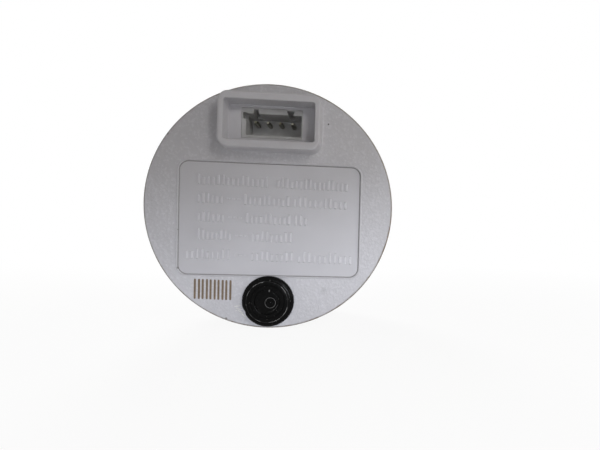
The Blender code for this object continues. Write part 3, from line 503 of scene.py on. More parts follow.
class FrontSettings(PropertyGroup):
    ring: colour("Bezel", "Colour of the bezel", "18181A")
    marks: IntProperty(name="Marks", description="Marks from empty to full", default=9, min=3, max=41)
    sweep: number("Sweep", "Angle from empty to full", radians(90), subtype="ANGLE")
    needle: colour("Needle", "Colour of the needle", "D8431E")


class StageSettings(PropertyGroup):
    lens: number("Lens", "Focal length on a 36 mm sensor", 28.314, 10.0)
    key_power: number("Key light", "Its power in watts", 0.05)
    side_power: number("Side light", "Its power in watts", 0.045)
    low_power: number("Low light", "Its power in watts", 2.1)
    low_edge: length("Low light's edge", "Height at which the low light ends", 2.5 * MM)
    front_power: number("Front light", "Its power in watts", 1.1)
    fill: number("Fill", "Strength of the light from all round", 0.1)


# Back of the gauge

class GAUGE_OT_case(Operator):
    """Makes the moulded case with its collar, label recess and connector slot"""
    bl_idname = "gauge.case"
    bl_label = "Case"

    def execute(self, context):
        settings = context.scene.gauge_case
        edge_r = 0.5
        section = [(0.0, BACK_INSIDE), (CASE_BORE, BACK_INSIDE), (CASE_BORE, 2.25), (NECK_BORE, SHOULDER),
                   (NECK_BORE, NECK_END), (NECK_R, NECK_END), *bead(NECK_R), (NECK_R, GROOVE_END),
                   (GROOVE_R, GROOVE_END), (GROOVE_R, SHOULDER), (CASE_R, SHOULDER), (CASE_R + 0.1, SHOULDER + 0.1)]
        section += fillet(CASE_R - edge_r, BACK - edge_r, edge_r, 0, 90, 6) + [(0.0, BACK)]
        case = solid("case_shell", turned(section, 168))
        turns = [radians(angle) for angle in POST_ANGLES]
        places = [(POST_CIRCLE * cos(a), POST_CIRCLE * sin(a)) for a in turns]
        posts = [prism(disc(POST_R, 24, *place), 16.15, 22.1) for place in places]
        combine(case, joined(posts), "UNION")
        pilots = [prism(disc(PILOT_R, 16, *place), 15.9, 19.4) for place in places]
        combine(case, joined(pilots), "DIFFERENCE")
        combine(case, self.collar(settings.rim_round), "UNION")
        combine(case, self.collar_opening(), "DIFFERENCE")
        play = 0.03
        slot = rounded(HEADER[0] + play, HEADER[1] + play, 0.2, HEADER[2], 3)
        combine(case, prism(slot, BACK_INSIDE - PAST, BACK + 0.4), "DIFFERENCE")
        # The shallow recess for a label has a drafted wall, and a fine raised line frames it.
        recess = ((-0.3, 0.2), (-0.27, 0.12), (-0.05, 0.02), (0.0, -0.04), (0.2, -0.04))
        line = ((-0.1, -0.05), (0.08, -0.05), (0.14, -0.1), (0.15, -0.2), (0.06, -0.34), (-0.1, -0.4))
        for rows, ring, operation in ((recess, False, "DIFFERENCE"), (line, True, "UNION")):
            rows = [(BACK + rise, inset) for rise, inset in rows]
            combine(case, stack(levels(PANEL, PANEL_CORNER, rows), ring), operation)
        hole = disc(PLUG_HOLE_R, 48, 0.0, PLUG_HEIGHT)
        combine(case, prism(hole, BACK_INSIDE - PAST, BACK + PAST), "DIFFERENCE")
        finished(case, case_plastic(settings), ("rear_case",))
        return {"FINISHED"}

    def collar(self, rim):
        """The collar's outside: a small flare at its foot, the draft of its walls and a rounded rim."""
        flare = 0.28
        draft = 0.2
        sunk = 22.1     # the draft starts inside the back wall
        turn = [pi / 2 * i / 5 for i in range(6)]
        rows = [(sunk + 0.2, -0.3), (BACK - 0.02, -0.3)]
        rows += [(BACK + flare * (1 - cos(a)), -flare * (1 - sin(a))) for a in turn[1:]]
        rows += [(COLLAR_TOP - rim + rim * sin(a), rim * (1 - cos(a))) for a in turn]
        rows = [(depth, inset + draft * (depth - sunk) / (COLLAR_TOP - sunk)) for depth, inset in rows]
        return stack(levels(COLLAR, COLLAR_CORNER, rows))

    def collar_opening(self):
        """The well inside the collar, with an eased edge at the rim."""
        width, height, middle = COLLAR
        top = COLLAR_TOP
        rows = ((top + 0.3, -0.14), (top + 0.01, -0.14), (top - 0.04, -0.07), (top - 0.14, 0.0),
                (BACK + 0.3, 0.185), (BACK + 0.2, 0.22), (BACK + 0.15, 0.32))
        return stack(levels((width - 2.6, height - 3.5, middle), 0.5, rows, least=0.15))


def bar_tree(finish):
    """A tree that stands a tapered round-cornered bar on each vertex, as wide and tall as its attributes say."""
    tree, given = new_tree("raised_bars", Geometry="Geometry", Height="Float", Rise="Float", Corner="Float",
                           Taper="Float")
    plate = node(tree, "GeometryNodeCurvePrimitiveQuadrilateral", {"Width": MM, "Height": given["Height"]})
    soft = node(tree, "GeometryNodeFilletCurve", {"Curve": plate, "Count": 4, "Radius": given["Corner"]},
                mode="POLY")
    filled = node(tree, "GeometryNodeFillCurve", {"Curve": soft}, mode="NGONS")
    raised = node(tree, "GeometryNodeExtrudeMesh", {"Mesh": filled, "Offset Scale": given["Rise"]}, mode="FACES")
    inputs = {"Geometry": raised, "Selection": raised.outputs["Top"], "Scale": given["Taper"]}
    taper = node(tree, "GeometryNodeScaleElements", inputs, domain="FACE")
    floor = node(tree, "GeometryNodeFlipFaces", {"Mesh": filled})
    shell = node(tree, "GeometryNodeJoinGeometry")
    for half in (taper, floor):
        tree.links.new(half.outputs[0], shell.inputs[0])
    closed = node(tree, "GeometryNodeMergeByDistance", {"Geometry": shell, "Distance": 1e-6})
    wide, tall = [node(tree, "GeometryNodeInputNamedAttribute", {"Name": name}, data_type="FLOAT")
                  for name in ("wide", "tall")]
    size = node(tree, "ShaderNodeCombineXYZ", {"X": wide, "Y": tall, "Z": 1.0})
    stamp(tree, given["Geometry"], closed, (-pi / 2, 0.0, 0.0), size, finish)
    return tree


def bars(name, spots, depth, finish, sizes):
    """Stands bars on the back: spots are (across, height, wide, tall) in millimetres, across being -X."""
    mesh = bpy.data.meshes.new(name)
    mesh.from_pydata([at(-across, depth, height) for across, height, wide, tall in spots], [], [])
    for label, column in (("wide", 2), ("tall", 3)):
        values = mesh.attributes.new(label, "FLOAT", "POINT").data
        for held, spot in zip(values, spots):
            held.value = spot[column]
    return grown(name, mesh, bar_tree(finish), sizes)


class GAUGE_OT_label_bars(Operator):
    """Raises rows of plain bars in the label panel"""
    bl_idname = "gauge.label_bars"
    bl_label = "Label bars"

    def execute(self, context):
        settings = context.scene.gauge_label
        # The bars are polished in the tool, so they are smoother than the panel; their paler colour is a painted
        # highlight, for the light that catches the raised strokes.
        finish = plain("moulded_abs_polished_painted_pale", "D2D1D5", "C8C7CB", 5.0, 0.5, 0.006, 0.42, level=0.3)
        # Each row is its height and its runs of bars, from left to right: first, last, count and how tall.
        dash = 0.14
        rows = ((5.0, ((-14.8, -0.4, 15, 1.0), (0.9, 15.8, 16, 1.0))),
                (1.26, ((-14.7, -9.4, 6, 1.0), (-9.0, -6.0, 3, dash), (-5.6, 3.9, 10, 1.0), (4.3, 15.7, 11, 1.0))),
                (-2.5, ((-14.7, -9.0, 6, 1.0), (-8.6, -5.6, 3, dash), (-5.2, 4.2, 10, 1.0), (4.6, 7.6, 3, 1.0))),
                (-6.15, ((-14.6, -7.6, 8, 1.0), (-7.2, -4.4, 3, dash), (-4.0, 4.6, 9, 1.0))),
                (-10.15, ((-16.9, -7.8, 9, 1.0), (-7.3, -4.4, 3, dash), (-4.0, 4.9, 9, 1.0),
                          (5.4, 17.0, 11, 1.0))))
        lean = 0.013    # the rows fall a little to the right
        spots = []
        for height, runs in rows:
            for first, last, count, tall in runs:
                pitch = (last - first) / count
                for i in range(count):
                    wide = pitch * 0.72
                    drop = 0.0
                    share = tall
                    if tall != dash:
                        wide = (0.42, 0.5, 0.36)[(i + count) % 3]
                        share = (1.0, 0.74, 0.74, 1.0, 0.74)[(i * 2 + count) % 5]
                        drop = settings.bar_height / MM * (share - 1) / 2
                    across = first + pitch * (i + 0.5)
                    spots.append((across, height + drop - lean * across, wide, share))
        sunk = 0.03
        sizes = {"Height": settings.bar_height, "Rise": settings.bar_rise + sunk * MM, "Corner": 0.16 * MM,
                 "Taper": 0.8}
        made = bars("label_bars", spots, BACK - 0.3 - sunk, finish, sizes)
        finished(made, finish)
        return {"FINISHED"}


class GAUGE_OT_laser_bars(Operator):
    """Burns ten plain brown bars beside the plug"""
    bl_idname = "gauge.laser_bars"
    bl_label = "Laser bars"

    def execute(self, context):
        settings = context.scene.gauge_label
        # Laser-burnt ABS: brown scan lines over the pale plastic. A wave repeats each 0.32 / scale metres.
        burnt, ends = layered("laser_burnt_abs", settings.marking, srgb("6B553C"), 0.5, 0.3, 0.01, 0.55)
        scan_pitch = 0.25 * MM
        wave = {"Vector": ends["place"], "Scale": 0.32 / scan_pitch, "Distortion": 1.5}
        lines = node(ends["tree"], "ShaderNodeTexWave", wave, bands_direction="X")
        over(ends, "A79C8A", ramp(ends["tree"], lines.outputs["Fac"], 0.5, 0.9), 0.3)
        spots = [(-14.7 + 1.55 * (i // 2) + 0.82 * (i % 2), -17.1 - 0.02 * i, 0.42, 2.35) for i in range(10)]
        sizes = {"Height": 1.75 * MM, "Rise": 0.02 * MM, "Corner": 0.2 * MM, "Taper": 0.98}
        made = bars("laser_bars", spots, BACK - 0.005, burnt, sizes)
        finished(made, burnt)
        return {"FINISHED"}


class GAUGE_OT_connector(Operator):
    """Makes the four-pole header and finishes its pins"""
    bl_idname = "gauge.connector"
    bl_label = "Connector"

    def execute(self, context):
        rim = HEADER_RIM
        past_rim = rim + PAST
        rows = ((HEADER_FOOT, 0.1), (HEADER_FOOT + 0.1, 0.0), (rim - 0.08, 0.0), (rim, 0.07))
        header = solid("header_shell", stack(levels(HEADER, 0.2, rows, 3)))
        # The cavity stands 0.3 mm towards -X of the pins' middle, as the photograph shows.
        rows = ((HEADER_FLOOR, 0.12), (HEADER_FLOOR + 0.1, 0.04), (rim - 0.08, 0.0), (rim + 0.02, -0.06),
                (rim + 0.3, -0.06))
        combine(header, stack(levels(CAVITY, 0.22, rows, 3, -0.31)), "DIFFERENCE")
        keys = []
        for x, foot, head in ((3.22, 0.58, 0.42), (-3.65, 0.52, 0.73)):
            outline = [(x - foot, 18.5), (x + foot, 18.5), (x + foot, 18.9), (x + head, 19.3), (x + head, 19.64),
                       (x - head, 19.64), (x - head, 19.3), (x - foot, 18.9)]
            keys.append(prism(outline, rim - 4.6, past_rim))
        combine(header, joined(keys), "DIFFERENCE")
        notch = rounded(0.9, 1.3, 0.08, 18.3, 2, 5.42)
        combine(header, prism(notch, rim - 2.4, past_rim), "DIFFERENCE")
        holes = [rounded(0.74, 0.74, 0.05, PINS_HEIGHT, 2, x) for x in (-3.75, -1.25, 1.25, 3.75)]
        combine(header, joined([prism(hole, 15.8, 17.6) for hole in holes]), "DIFFERENCE")
        # Nylon 66 in a polished tool: off-white.
        nylon = plain("moulded_nylon_header", "B6B6B6", "A6A6A5", 3.0, 0.5, 0.006, 0.42)
        finished(header, nylon, ("connector_header",))
        # Tin-plated brass: a dull silver with yellow showing where the plating is thin.
        tin = plain("tin_plated_brass", "A09E94", "6E6A58", 0.5, 0.15, 0.006, 0.42, spread=0.1, metallic=1.0)
        dress(tin, *[f"contact_pin_{i}" for i in range(1, 5)])
        return {"FINISHED"}


class GAUGE_OT_plug(Operator):
    """Makes the rubber plug with its boss and gate, and the scuffs beside it"""
    bl_idname = "gauge.plug"
    bl_label = "Rubber plug"

    def execute(self, context):
        settings = context.scene.gauge_plug
        top = PLUG_TOP
        rim = top - 0.35
        edge_r = 0.75
        # The tip and its barb inside the wall, and the flange on the back face
        section = [(0.0, 19.58), (1.8, 19.58), (2.0, 19.7), (3.1, 20.88), (2.68, 20.88), (2.68, BACK + 0.12),
                   (PLUG_R - 0.15, BACK + 0.12), (PLUG_R, BACK + 0.25)]
        section += fillet(PLUG_R - edge_r, rim - edge_r, edge_r, 0, 90, 7)
        # The raised disc with its groove
        section += [(4.32, rim), (4.25, rim + 0.05)]
        section += fillet(4.1, top - 0.15, 0.15, 0, 90, 4)
        section += [(3.5, top - 0.02), (3.42, top - 0.1), (3.3, top - 0.1), (3.22, top - 0.02), (2.72, top - 0.02)]
        # The dish in its middle
        section += fillet(2.65, top - 0.14, 0.12, 80, 170, 4)
        section += [(2.5, top - 0.42), (2.42, top - 0.47), (0.0, top - 0.47)]
        shape = turned(section, 96, 0.0, PLUG_HEIGHT)
        self.nick(shape)
        finish = rubber(settings)
        plug = solid("rubber_plug_moulded", shape)
        finished(plug, finish, ("rubber_plug",))
        # The boss stands off the plug's middle, and a moulding gate has left a nub above it.
        boss = [(0.0, top - 0.55), (1.2, top - 0.55)] + fillet(1.08, top - 0.2, 0.1, 0, 90, 4)
        boss += fillet(0.9, top - 0.2, 0.1, 90, 180, 4)
        boss += [(0.78, top - 0.36), (0.4, top - 0.37), (0.32, top - 0.2), (0.2, top - 0.14), (0.0, top - 0.12)]
        gate = [(rounded(share * 0.34, share * 0.86, share * 0.14, PLUG_HEIGHT + 2.25, 4, -0.4), top - drop)
                for share, drop in ((1.0, 0.5), (0.92, 0.12), (0.8, 0.04), (0.5, 0.0))]
        extras = joined([turned(boss, 48, BOSS[0], PLUG_HEIGHT + BOSS[1]), stack(gate)])
        finished(solid("plug_boss_and_gate", extras), finish)
        self.scuffs()
        return {"FINISHED"}

    def nick(self, shape):
        """Pulls the flange's edge in a little at its lower left, where it is torn."""
        flange_from = 4.4
        torn_angle = 206
        torn_half = 13      # degrees
        for vertex in shape.verts:
            x = vertex.co.x / MM
            z = vertex.co.z / MM - PLUG_HEIGHT
            if hypot(x, z) < flange_from or vertex.co.y < BACK * MM:
                continue
            angle = degrees(atan2(z, -x)) % 360
            share = max(0.0, 1 - abs(angle - torn_angle) / torn_half)
            ragged = 0.6 + 0.4 * sin(angle * 1.9)
            pull = 1 - 0.045 * share * ragged
            vertex.co.x *= pull
            vertex.co.z = (PLUG_HEIGHT + z * pull) * MM

    def scuffs(self):
        """Pale slivers of plastic scraped up beside the plug, each from a jagged outline."""
        slivers = []
        marks = ((-6.2, -20.5, 1.5, 0.16, 6), (-6.0, -21.1, 1.2, 0.14, -14), (-5.6, -21.6, 1.2, 0.2, -24),
                 (-5.3, -21.2, 0.8, 0.14, 30), (-5.2, -22.1, 1.0, 0.16, -38), (-4.9, -22.5, 1.0, 0.2, -44),
                 (-4.6, -23.0, 0.6, 0.14, -52), (-6.5, -21.5, 0.6, 0.1, 16))
        for across, height, long, wide, lean in marks:
            turn = Matrix.Rotation(radians(lean), 2)
            rows = []
            for depth, share in ((BACK - 0.03, 1.0), (BACK + 0.08, 0.9), (BACK + 0.16, 0.45)):
                outline = []
                for a in [2 * pi * i / 10 for i in range(10)]:
                    jag = 1 + 0.18 * sin(5 * a + across * 3)
                    x, z = turn @ Vector((long / 2 * share * jag * cos(a), wide / 2 * share * sin(a)))
                    outline.append((-(across + x), height + z))
                rows.append((outline, depth))
            slivers.append(stack(rows))
        # Stressed ABS turns whiter than the moulded face.
        white = plain("stress_whitened_abs", "F4F3EF", "D9D7CF", 0.6, 0.15, 0.02, 0.5)
        finished(solid("plug_scuffs", joined(slivers)), white)


# Front of the gauge

class GAUGE_OT_bezel(Operator):
    """Makes the bezel ring, the lens and the sloping ring behind it"""
    bl_idname = "gauge.bezel"
    bl_label = "Bezel and lens"

    def execute(self, context):
        settings = context.scene.gauge_front
        black = black_abs(settings.ring)
        edge_r = 0.7
        seat = FRONT + 1.0      # the lip's inner face, which holds the lens
        section = [(BEZEL_BORE, -0.4), (25.15, 0.0), (BEZEL_R - 0.06, 0.0), (BEZEL_R, -0.06)]
        section += fillet(BEZEL_R - edge_r, FRONT + edge_r, edge_r, 0, -90, 7)
        section += [(23.35, FRONT + 0.04)] + fillet(23.1, FRONT + 0.5, 0.5, -95, -180, 6)
        section += [(22.5, seat - 0.05), (22.55, seat), (BEZEL_BORE, seat), *bead(BEZEL_BORE)]
        finished(solid("bezel_ring", turned(section, 168)), black, ("bezel",))
        ease = 0.15
        lens_back = LENS + LENS_THICKNESS
        section = [(0.0, LENS), (LENS_R - ease, LENS), (LENS_R, LENS + ease), (LENS_R, lens_back - ease),
                   (LENS_R - ease, lens_back), (0.0, lens_back)]
        finished(solid("lens_disc", turned(section, 128)), self.acrylic(), ("lens",))
        section = [(21.5, -4.25), (22.2, -4.25), (22.2, 1.2), (20.4, 1.2), (20.55, 0.6), (20.9, -1.0), (21.2, -2.6)]
        finished(solid("visor_slope", turned(section, 128)), black, ("visor_ring",))
        return {"FINISHED"}

    def acrylic(self):
        """Cast acrylic with a polished face; lamps and bounced light go straight through, to light the dial."""
        made, ends = layered("polished_clear_acrylic", srgb("F7F9F9"), srgb("F1F5F5"), 12.0, 3.0, 0.0005, 0.02, 0.01)
        tree = ends["tree"]
        shader = ends["shader"]
        shader.inputs["Transmission Weight"].default_value = 1.0
        shader.inputs["IOR"].default_value = 1.49
        shader.inputs["Specular IOR Level"].default_value = 0.25
        clear = node(tree, "ShaderNodeBsdfTransparent", {"Color": srgb("F7F9F9")})
        path = node(tree, "ShaderNodeLightPath")
        surface = shader
        for kind in ("Is Shadow Ray", "Is Diffuse Ray"):
            surface = node(tree, "ShaderNodeMixShader", {0: path.outputs[kind], 1: surface, 2: clear})
        tree.links.new(surface.outputs[0], ends["out"].inputs["Surface"])
        return made


def mark_tree(finish):
    """A tree that sets marks round an arc, each fourth one long."""
    tree, given = new_tree("dial_marks", Marks="Int", Start="Float", Sweep="Float", Radius="Float",
                           Length="Float", Width="Float", Depth="Float")
    index = node(tree, "GeometryNodeInputIndex")
    last = calc(tree, "SUBTRACT", given["Marks"], 1.0)
    angle = calc(tree, "MULTIPLY_ADD", calc(tree, "DIVIDE", index, last), given["Sweep"], given["Start"])
    major = calc(tree, "COMPARE", calc(tree, "MODULO", index, 4.0), 0.0, 0.1)
    longer = calc(tree, "MULTIPLY_ADD", major, 0.45, 0.55)
    wider = calc(tree, "MULTIPLY_ADD", major, 0.4, 0.6)
    # The outer ends are on one circle, so a long mark's middle lies further in.
    middle = calc(tree, "MULTIPLY_ADD", calc(tree, "MULTIPLY", longer, given["Length"]), -0.5, given["Radius"])
    x = calc(tree, "MULTIPLY", calc(tree, "SINE", angle), middle)
    z = calc(tree, "MULTIPLY", calc(tree, "COSINE", angle), middle)
    place = node(tree, "ShaderNodeCombineXYZ", {"X": x, "Y": given["Depth"], "Z": z})
    points = node(tree, "GeometryNodePoints", {"Count": given["Marks"], "Position": place})
    turn = node(tree, "ShaderNodeCombineXYZ", {"X": pi / 2, "Y": angle, "Z": 0.0})
    inputs = {"Width": given["Width"], "Height": given["Length"]}
    plate = node(tree, "GeometryNodeCurvePrimitiveQuadrilateral", inputs)
    filled = node(tree, "GeometryNodeFillCurve", {"Curve": plate}, mode="NGONS")
    size = node(tree, "ShaderNodeCombineXYZ", {"X": wider, "Y": longer, "Z": 1.0})
    stamp(tree, points, filled, turn, size, finish)
    return tree


class GAUGE_OT_dial(Operator):
    """Makes the dial with its marks, its letters and a plain pump sign"""
    bl_idname = "gauge.dial"
    bl_label = "Dial"

    def execute(self, context):
        settings = context.scene.gauge_front
        # Screen-printed polycarbonate: matt black ink, and white ink with a slightly uneven edge of gloss.
        black = plain("screen_printed_black", "101012", "17171A", 6.0, 0.3, 0.006, 0.6, spread=0.06, level=0.3)
        white = plain("screen_printed_white", "E9E8E2", "DDDCD5", 3.0, 0.3, 0.004, 0.55)
        ease = 0.03
        section = [(DIAL_HOLE_R, DIAL + ease), (DIAL_HOLE_R + ease, DIAL), (DIAL_R - ease, DIAL),
                   (DIAL_R, DIAL + ease), (DIAL_R, DIAL_BACK), (DIAL_HOLE_R, DIAL_BACK)]
        finished(solid("dial_face", turned(section, 128)), black, ("dial_plate",))
        sizes = {"Marks": settings.marks, "Start": -settings.sweep / 2, "Sweep": settings.sweep,
                 "Radius": 19.4 * MM, "Length": 3.4 * MM, "Width": 0.75 * MM, "Depth": (DIAL - 0.02) * MM}
        marks = grown("dial_marks", bpy.data.meshes.new("dial_marks"), mark_tree(white), sizes)
        finished(marks, white)
        self.text("dial_print_empty", "E", -14.2, 8.4, 4.4, white)
        self.text("dial_print_full", "F", 14.2, 8.4, 4.4, white)
        self.text("dial_print_half", "1/2", 0.0, 12.4, 3.4, white)
        self.pump(white)
        return {"FINISHED"}

    def text(self, name, words, across, height, size, finish):
        """Prints words on the dial."""
        ink = 0.012
        curve = bpy.data.curves.new("letters", "FONT")
        curve.body = words
        curve.size = size * MM
        curve.align_x = "CENTER"
        curve.align_y = "CENTER"
        curve.extrude = ink * MM
        carrier = add_object("letters", curve)
        graph = bpy.context.evaluated_depsgraph_get()
        mesh = bpy.data.meshes.new_from_object(carrier.evaluated_get(graph))
        bpy.data.objects.remove(carrier)
        mesh.transform(Matrix.Translation(at(across, DIAL - ink, height)) @ Matrix.Rotation(pi / 2, 4, "X"))
        finished(add_object(name, mesh), finish)

    def pump(self, finish):
        """A plain sign of a fuel pump, from simple plates that overlap at slightly different heights."""
        plates = [rounded(3.0, 4.2, 0.4, -9.0, 4, -0.6), rounded(4.0, 0.7, 0.2, -11.5, 3, -0.6),
                  rounded(0.5, 3.0, 0.2, -9.2, 3, 1.9), rounded(1.2, 0.5, 0.2, -10.8, 3, 1.4),
                  rounded(0.9, 0.5, 0.2, -7.6, 3, 1.55)]
        shapes = [prism(outline, DIAL - 0.024 - 0.001 * i, DIAL) for i, outline in enumerate(plates)]
        finished(solid("dial_pump_sign", joined(shapes)), finish)


class GAUGE_OT_pointer(Operator):
    """Makes the needle and the cap over its hub"""
    bl_idname = "gauge.pointer"
    bl_label = "Pointer"

    def execute(self, context):
        settings = context.scene.gauge_front
        # Moulded acrylic, hot-stamped in a signal colour on its front.
        shade = tuple(c * 0.85 for c in settings.needle)
        stamped = layered("hot_stamped_acrylic", settings.needle, shade, 4.0, 0.3, 0.004, 0.32)[0]
        # At rest the needle leans 45 degrees to the empty mark.
        lean = Matrix.Rotation(radians(-45), 4, "Y")
        blade = [(-1.0, -5.5), (1.0, -5.5), (1.0, 0.0), (0.35, 17.15), (0.0, 17.5), (-0.35, 17.15), (-1.0, 0.0)]
        ridge = [(x * 0.72, z * 0.985) for x, z in blade]
        shape = stack([(blade, -0.55), (blade, -1.25), (ridge, -1.45)])
        bmesh.ops.transform(shape, matrix=lean, verts=shape.verts)
        needle = solid("needle_blade", shape)
        hub = [(0.0, -2.35), (2.5, -2.35), (2.6, -2.25), (2.6, -0.55), (1.3, -0.55), (1.3, 0.95), (0.0, 0.95)]
        combine(needle, turned(hub, 64), "UNION")
        bore = [(0.0, -1.55), (0.8, -1.55), (0.8, 1.45), (0.0, 1.45)]
        combine(needle, turned(bore, 32), "DIFFERENCE")
        finished(needle, stamped, ("pointer",), "pointer_body")
        section = [(0.0, -3.07), (2.6, -3.05)] + fillet(3.2, -2.57, 0.5, -80, 0, 6)
        section += [(3.7, -1.65), (3.66, -1.6), (3.1, -1.6), (3.1, -2.47), (0.0, -2.47)]
        cap = solid("needle_cap", turned(section, 72))
        finished(cap, black_abs(settings.ring), ("pointer_cap",), "pointer_body")
        return {"FINISHED"}


class GAUGE_OT_works(Operator):
    """Finishes everything inside: seals, light frame, board, movement and train"""
    bl_idname = "gauge.works"
    bl_label = "Works"

    def execute(self, context):
        dress(bpy.data.materials["moulded_nitrile_rubber"], "lens_gasket", "case_seal")
        # Reflective white ABS for the parts round the lamps.
        dress(plain("moulded_white_abs", "DAD9D4", "CFCEC8", 4.0, 0.4, 0.01, 0.45), "light_frame", "motor_case",
              "motor_cover")
        # Epoxy glass board under green solder mask; the weave's bundles are about half a millimetre apart.
        dress(plain("solder_mask_on_epoxy_glass", "1E5C38", "18492E", 1.2, 0.5, 0.02, 0.32), "circuit_board")
        # Chips in filled epoxy, matt from the tool.
        dress(plain("moulded_epoxy_resin", "1B1B1D", "232325", 1.5, 0.12, 0.012, 0.55), "processor",
              "driver_chip", "voltage_regulator", "reverse_diode")
        # Lamps in clear resin over yellow phosphor.
        dress(plain("phosphor_in_clear_resin", "E6DFA0", "D9CE84", 0.8, 0.3, 0.004, 0.22),
              *[f"lamp_{i}" for i in range(1, 6)])
        dress(plain("zinc_plated_steel", "B4B6BA", "9C9EA2", 1.0, 0.15, 0.006, 0.3, metallic=1.0),
              *[f"board_screw_{i}" for i in range(1, 5)])
        dress(plain("drawn_aluminium_can", "C6C8CB", "B5B7BA", 1.4, 0.2, 0.004, 0.28, metallic=1.0),
              "filter_capacitor")
        dress(plain("stamped_soft_iron", "77777A", "616164", 1.2, 0.25, 0.01, 0.42, spread=0.1, metallic=1.0),
              "stator")
        # A bonded ferrite magnet: dark grey, slightly grainy.
        dress(plain("bonded_ferrite", "2C2C2E", "38383A", 0.9, 0.15, 0.012, 0.55), "rotor")
        dress(plain("enamelled_copper_wire", "A4602F", "87491F", 0.6, 0.12, 0.02, 0.3, metallic=1.0),
              "coil_left", "coil_right")
        # Acetal gears: ivory, waxy.
        dress(plain("moulded_acetal", "E4DDC6", "D8D0B6", 1.5, 0.3, 0.004, 0.34), "output_wheel",
              "intermediate_wheel")
        return {"FINISHED"}


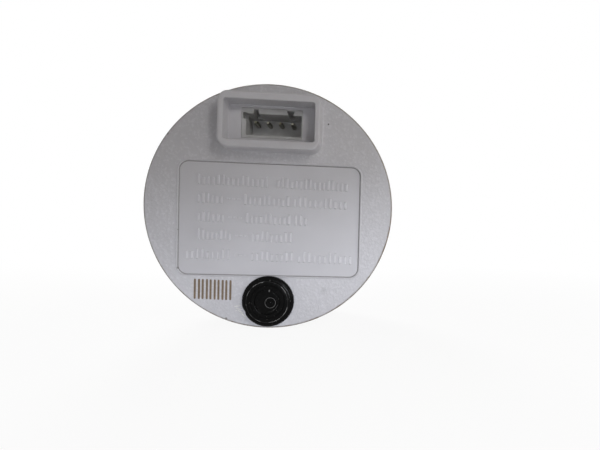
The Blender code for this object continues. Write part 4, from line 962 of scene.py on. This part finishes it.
class GAUGE_OT_stage(Operator):
    """Sets the pale floor, the soft lights and the camera"""
    bl_idname = "gauge.stage"
    bl_label = "Stage"

    def execute(self, context):
        settings = context.scene.gauge_stage
        context.scene.view_settings.view_transform = "Standard"
        self.floor()
        self.world(context, settings.fill)
        middle = at(0.0, BACK, 0.0)
        self.lamp("key_light", at(-78, BACK + 130, 72), middle, 0.035, settings.key_power, "FFFCF8")
        self.lamp("side_light", at(-170, BACK + 72, 34), middle, 0.08, settings.side_power, "FFFDF9")
        # A shaded lamp on the right: its cone's edge crosses the back softly, so that the upper left is darker.
        place = at(-45, BACK + 320, 5)
        edge = (at(0, BACK, settings.low_edge / MM) - place).normalized()
        along_edge = Vector((-0.994, 0.0, 0.109))
        below = edge.cross(along_edge).normalized()
        below *= -1 if below.z > 0 else 1
        half = radians(58)
        aim = place + edge * cos(half) + below * sin(half)
        low = self.lamp("low_light", place, aim, 0.03, settings.low_power, "F1F6FF", "SPOT")
        low.spot_size = 2 * half
        low.spot_blend = 0.055
        self.lamp("front_light", at(90, -330, 150), at(0, 0, 0), 0.12, settings.front_power, "FFFFFF")
        camera = bpy.data.cameras.new("camera")
        camera.sensor_width = 36.0
        camera.lens = settings.lens
        camera.shift_x = -0.16667
        camera.shift_y = 0.03833
        camera.clip_start = 0.005
        holder = add_object("camera", camera)
        holder.location = at(-16.79, 122.32, -4.73)
        holder.rotation_euler = [radians(a) for a in (88.27858, -1.71084, 174.23109)]
        context.scene.camera = holder
        return {"FINISHED"}

    def seen(self, tree):
        """1 for what the camera sees directly, in gloss or through the lens."""
        path = node(tree, "ShaderNodeLightPath").outputs
        direct = calc(tree, "MAXIMUM", path["Is Camera Ray"], path["Is Glossy Ray"])
        return calc(tree, "MAXIMUM", direct, path["Is Transmission Ray"])

    def floor(self):
        """A wide matt floor under the gauge's rim, white to the eye but for the shadow."""
        low = cad_box[0][2]
        half = 1.6
        mesh = bpy.data.meshes.new("studio_floor")
        corners = [(-half, -half, low), (half, -half, low), (half, half, low), (-half, half, low)]
        mesh.from_pydata(corners, [], [(0, 1, 2, 3)])
        floor = add_object("studio_floor", mesh)
        made, ends = layered("matt_white_paper", srgb("F2F2F2"), srgb("EDEDED"), 60.0, 1.5, 0.01, 0.8, 0.05)
        tree = ends["tree"]
        glow = node(tree, "ShaderNodeEmission", {"Color": (1.0, 1.0, 1.0, 1.0), "Strength": 1.0})
        # Far from the gauge the floor runs out into plain white.
        away = node(tree, "ShaderNodeVectorMath", {0: ends["place"]}, operation="LENGTH").outputs["Value"]
        white = ramp(tree, away, 0.04, 0.22, 0.92, 1.0)
        part = calc(tree, "MULTIPLY", self.seen(tree), white)
        mix = node(tree, "ShaderNodeMixShader", {0: part, 1: ends["shader"], 2: glow})
        tree.links.new(mix.outputs[0], ends["out"].inputs["Surface"])
        mesh.materials.append(made)

    def world(self, context, fill):
        """White to the eye, and a weaker even light on the gauge."""
        world = bpy.data.worlds.new("studio")
        world.use_nodes = True
        context.scene.world = world
        tree = world.node_tree
        tree.nodes.clear()
        dim = node(tree, "ShaderNodeBackground", {"Color": srgb("FFF3E8"), "Strength": fill})
        white = node(tree, "ShaderNodeBackground", {"Color": (1.0, 1.0, 1.0, 1.0), "Strength": 1.0})
        mix = node(tree, "ShaderNodeMixShader", {0: self.seen(tree), 1: dim, 2: white})
        node(tree, "ShaderNodeOutputWorld", {"Surface": mix})

    def lamp(self, name, place, aim, size, power, colour, kind="AREA"):
        """A round lamp of the given size in metres, at a place and turned to another."""
        light = bpy.data.lights.new(name, kind)
        if kind == "AREA":
            light.shape = "DISK"
            light.size = size
        else:
            light.shadow_soft_size = size / 2
        light.energy = power
        light.color = srgb(colour)[:3]
        holder = add_object(name, light)
        holder.location = place
        holder.rotation_euler = (aim - place).to_track_quat("-Z", "Y").to_euler()
        holder.visible_camera = False
        return light


class GAUGE_PT_panel(Panel):
    """Lists the gauge's settings and steps in the 3D view's sidebar"""
    bl_idname = "GAUGE_PT_panel"
    bl_label = "Fuel gauge"
    bl_space_type = "VIEW_3D"
    bl_region_type = "UI"
    bl_category = "Fuel gauge"

    def draw(self, context):
        for name, _ in GROUPS:
            group = getattr(context.scene, name)
            box = self.layout.box()
            for setting in group.__annotations__:
                box.prop(group, setting)
        for operator in OPERATORS:
            self.layout.operator(operator.bl_idname)


GROUPS = (("gauge_case", CaseSettings), ("gauge_label", LabelSettings), ("gauge_plug", PlugSettings),
          ("gauge_front", FrontSettings), ("gauge_stage", StageSettings))
OPERATORS = (GAUGE_OT_case, GAUGE_OT_label_bars, GAUGE_OT_laser_bars, GAUGE_OT_connector, GAUGE_OT_plug,
             GAUGE_OT_bezel, GAUGE_OT_dial, GAUGE_OT_pointer, GAUGE_OT_works, GAUGE_OT_stage)


CLASSES = (*[group for _, group in GROUPS], *OPERATORS, GAUGE_PT_panel)


def register():
    for made in CLASSES:
        bpy.utils.register_class(made)
    for name, group in GROUPS:
        setattr(bpy.types.Scene, name, PointerProperty(type=group))


def unregister():
    for name, _ in GROUPS:
        delattr(bpy.types.Scene, name)
    for made in reversed(CLASSES):
        bpy.utils.unregister_class(made)


def main():
    register()
    for operator in OPERATORS:
        getattr(bpy.ops.gauge, operator.bl_idname.removeprefix("gauge."))()


if __name__ == "__main__":
    main()
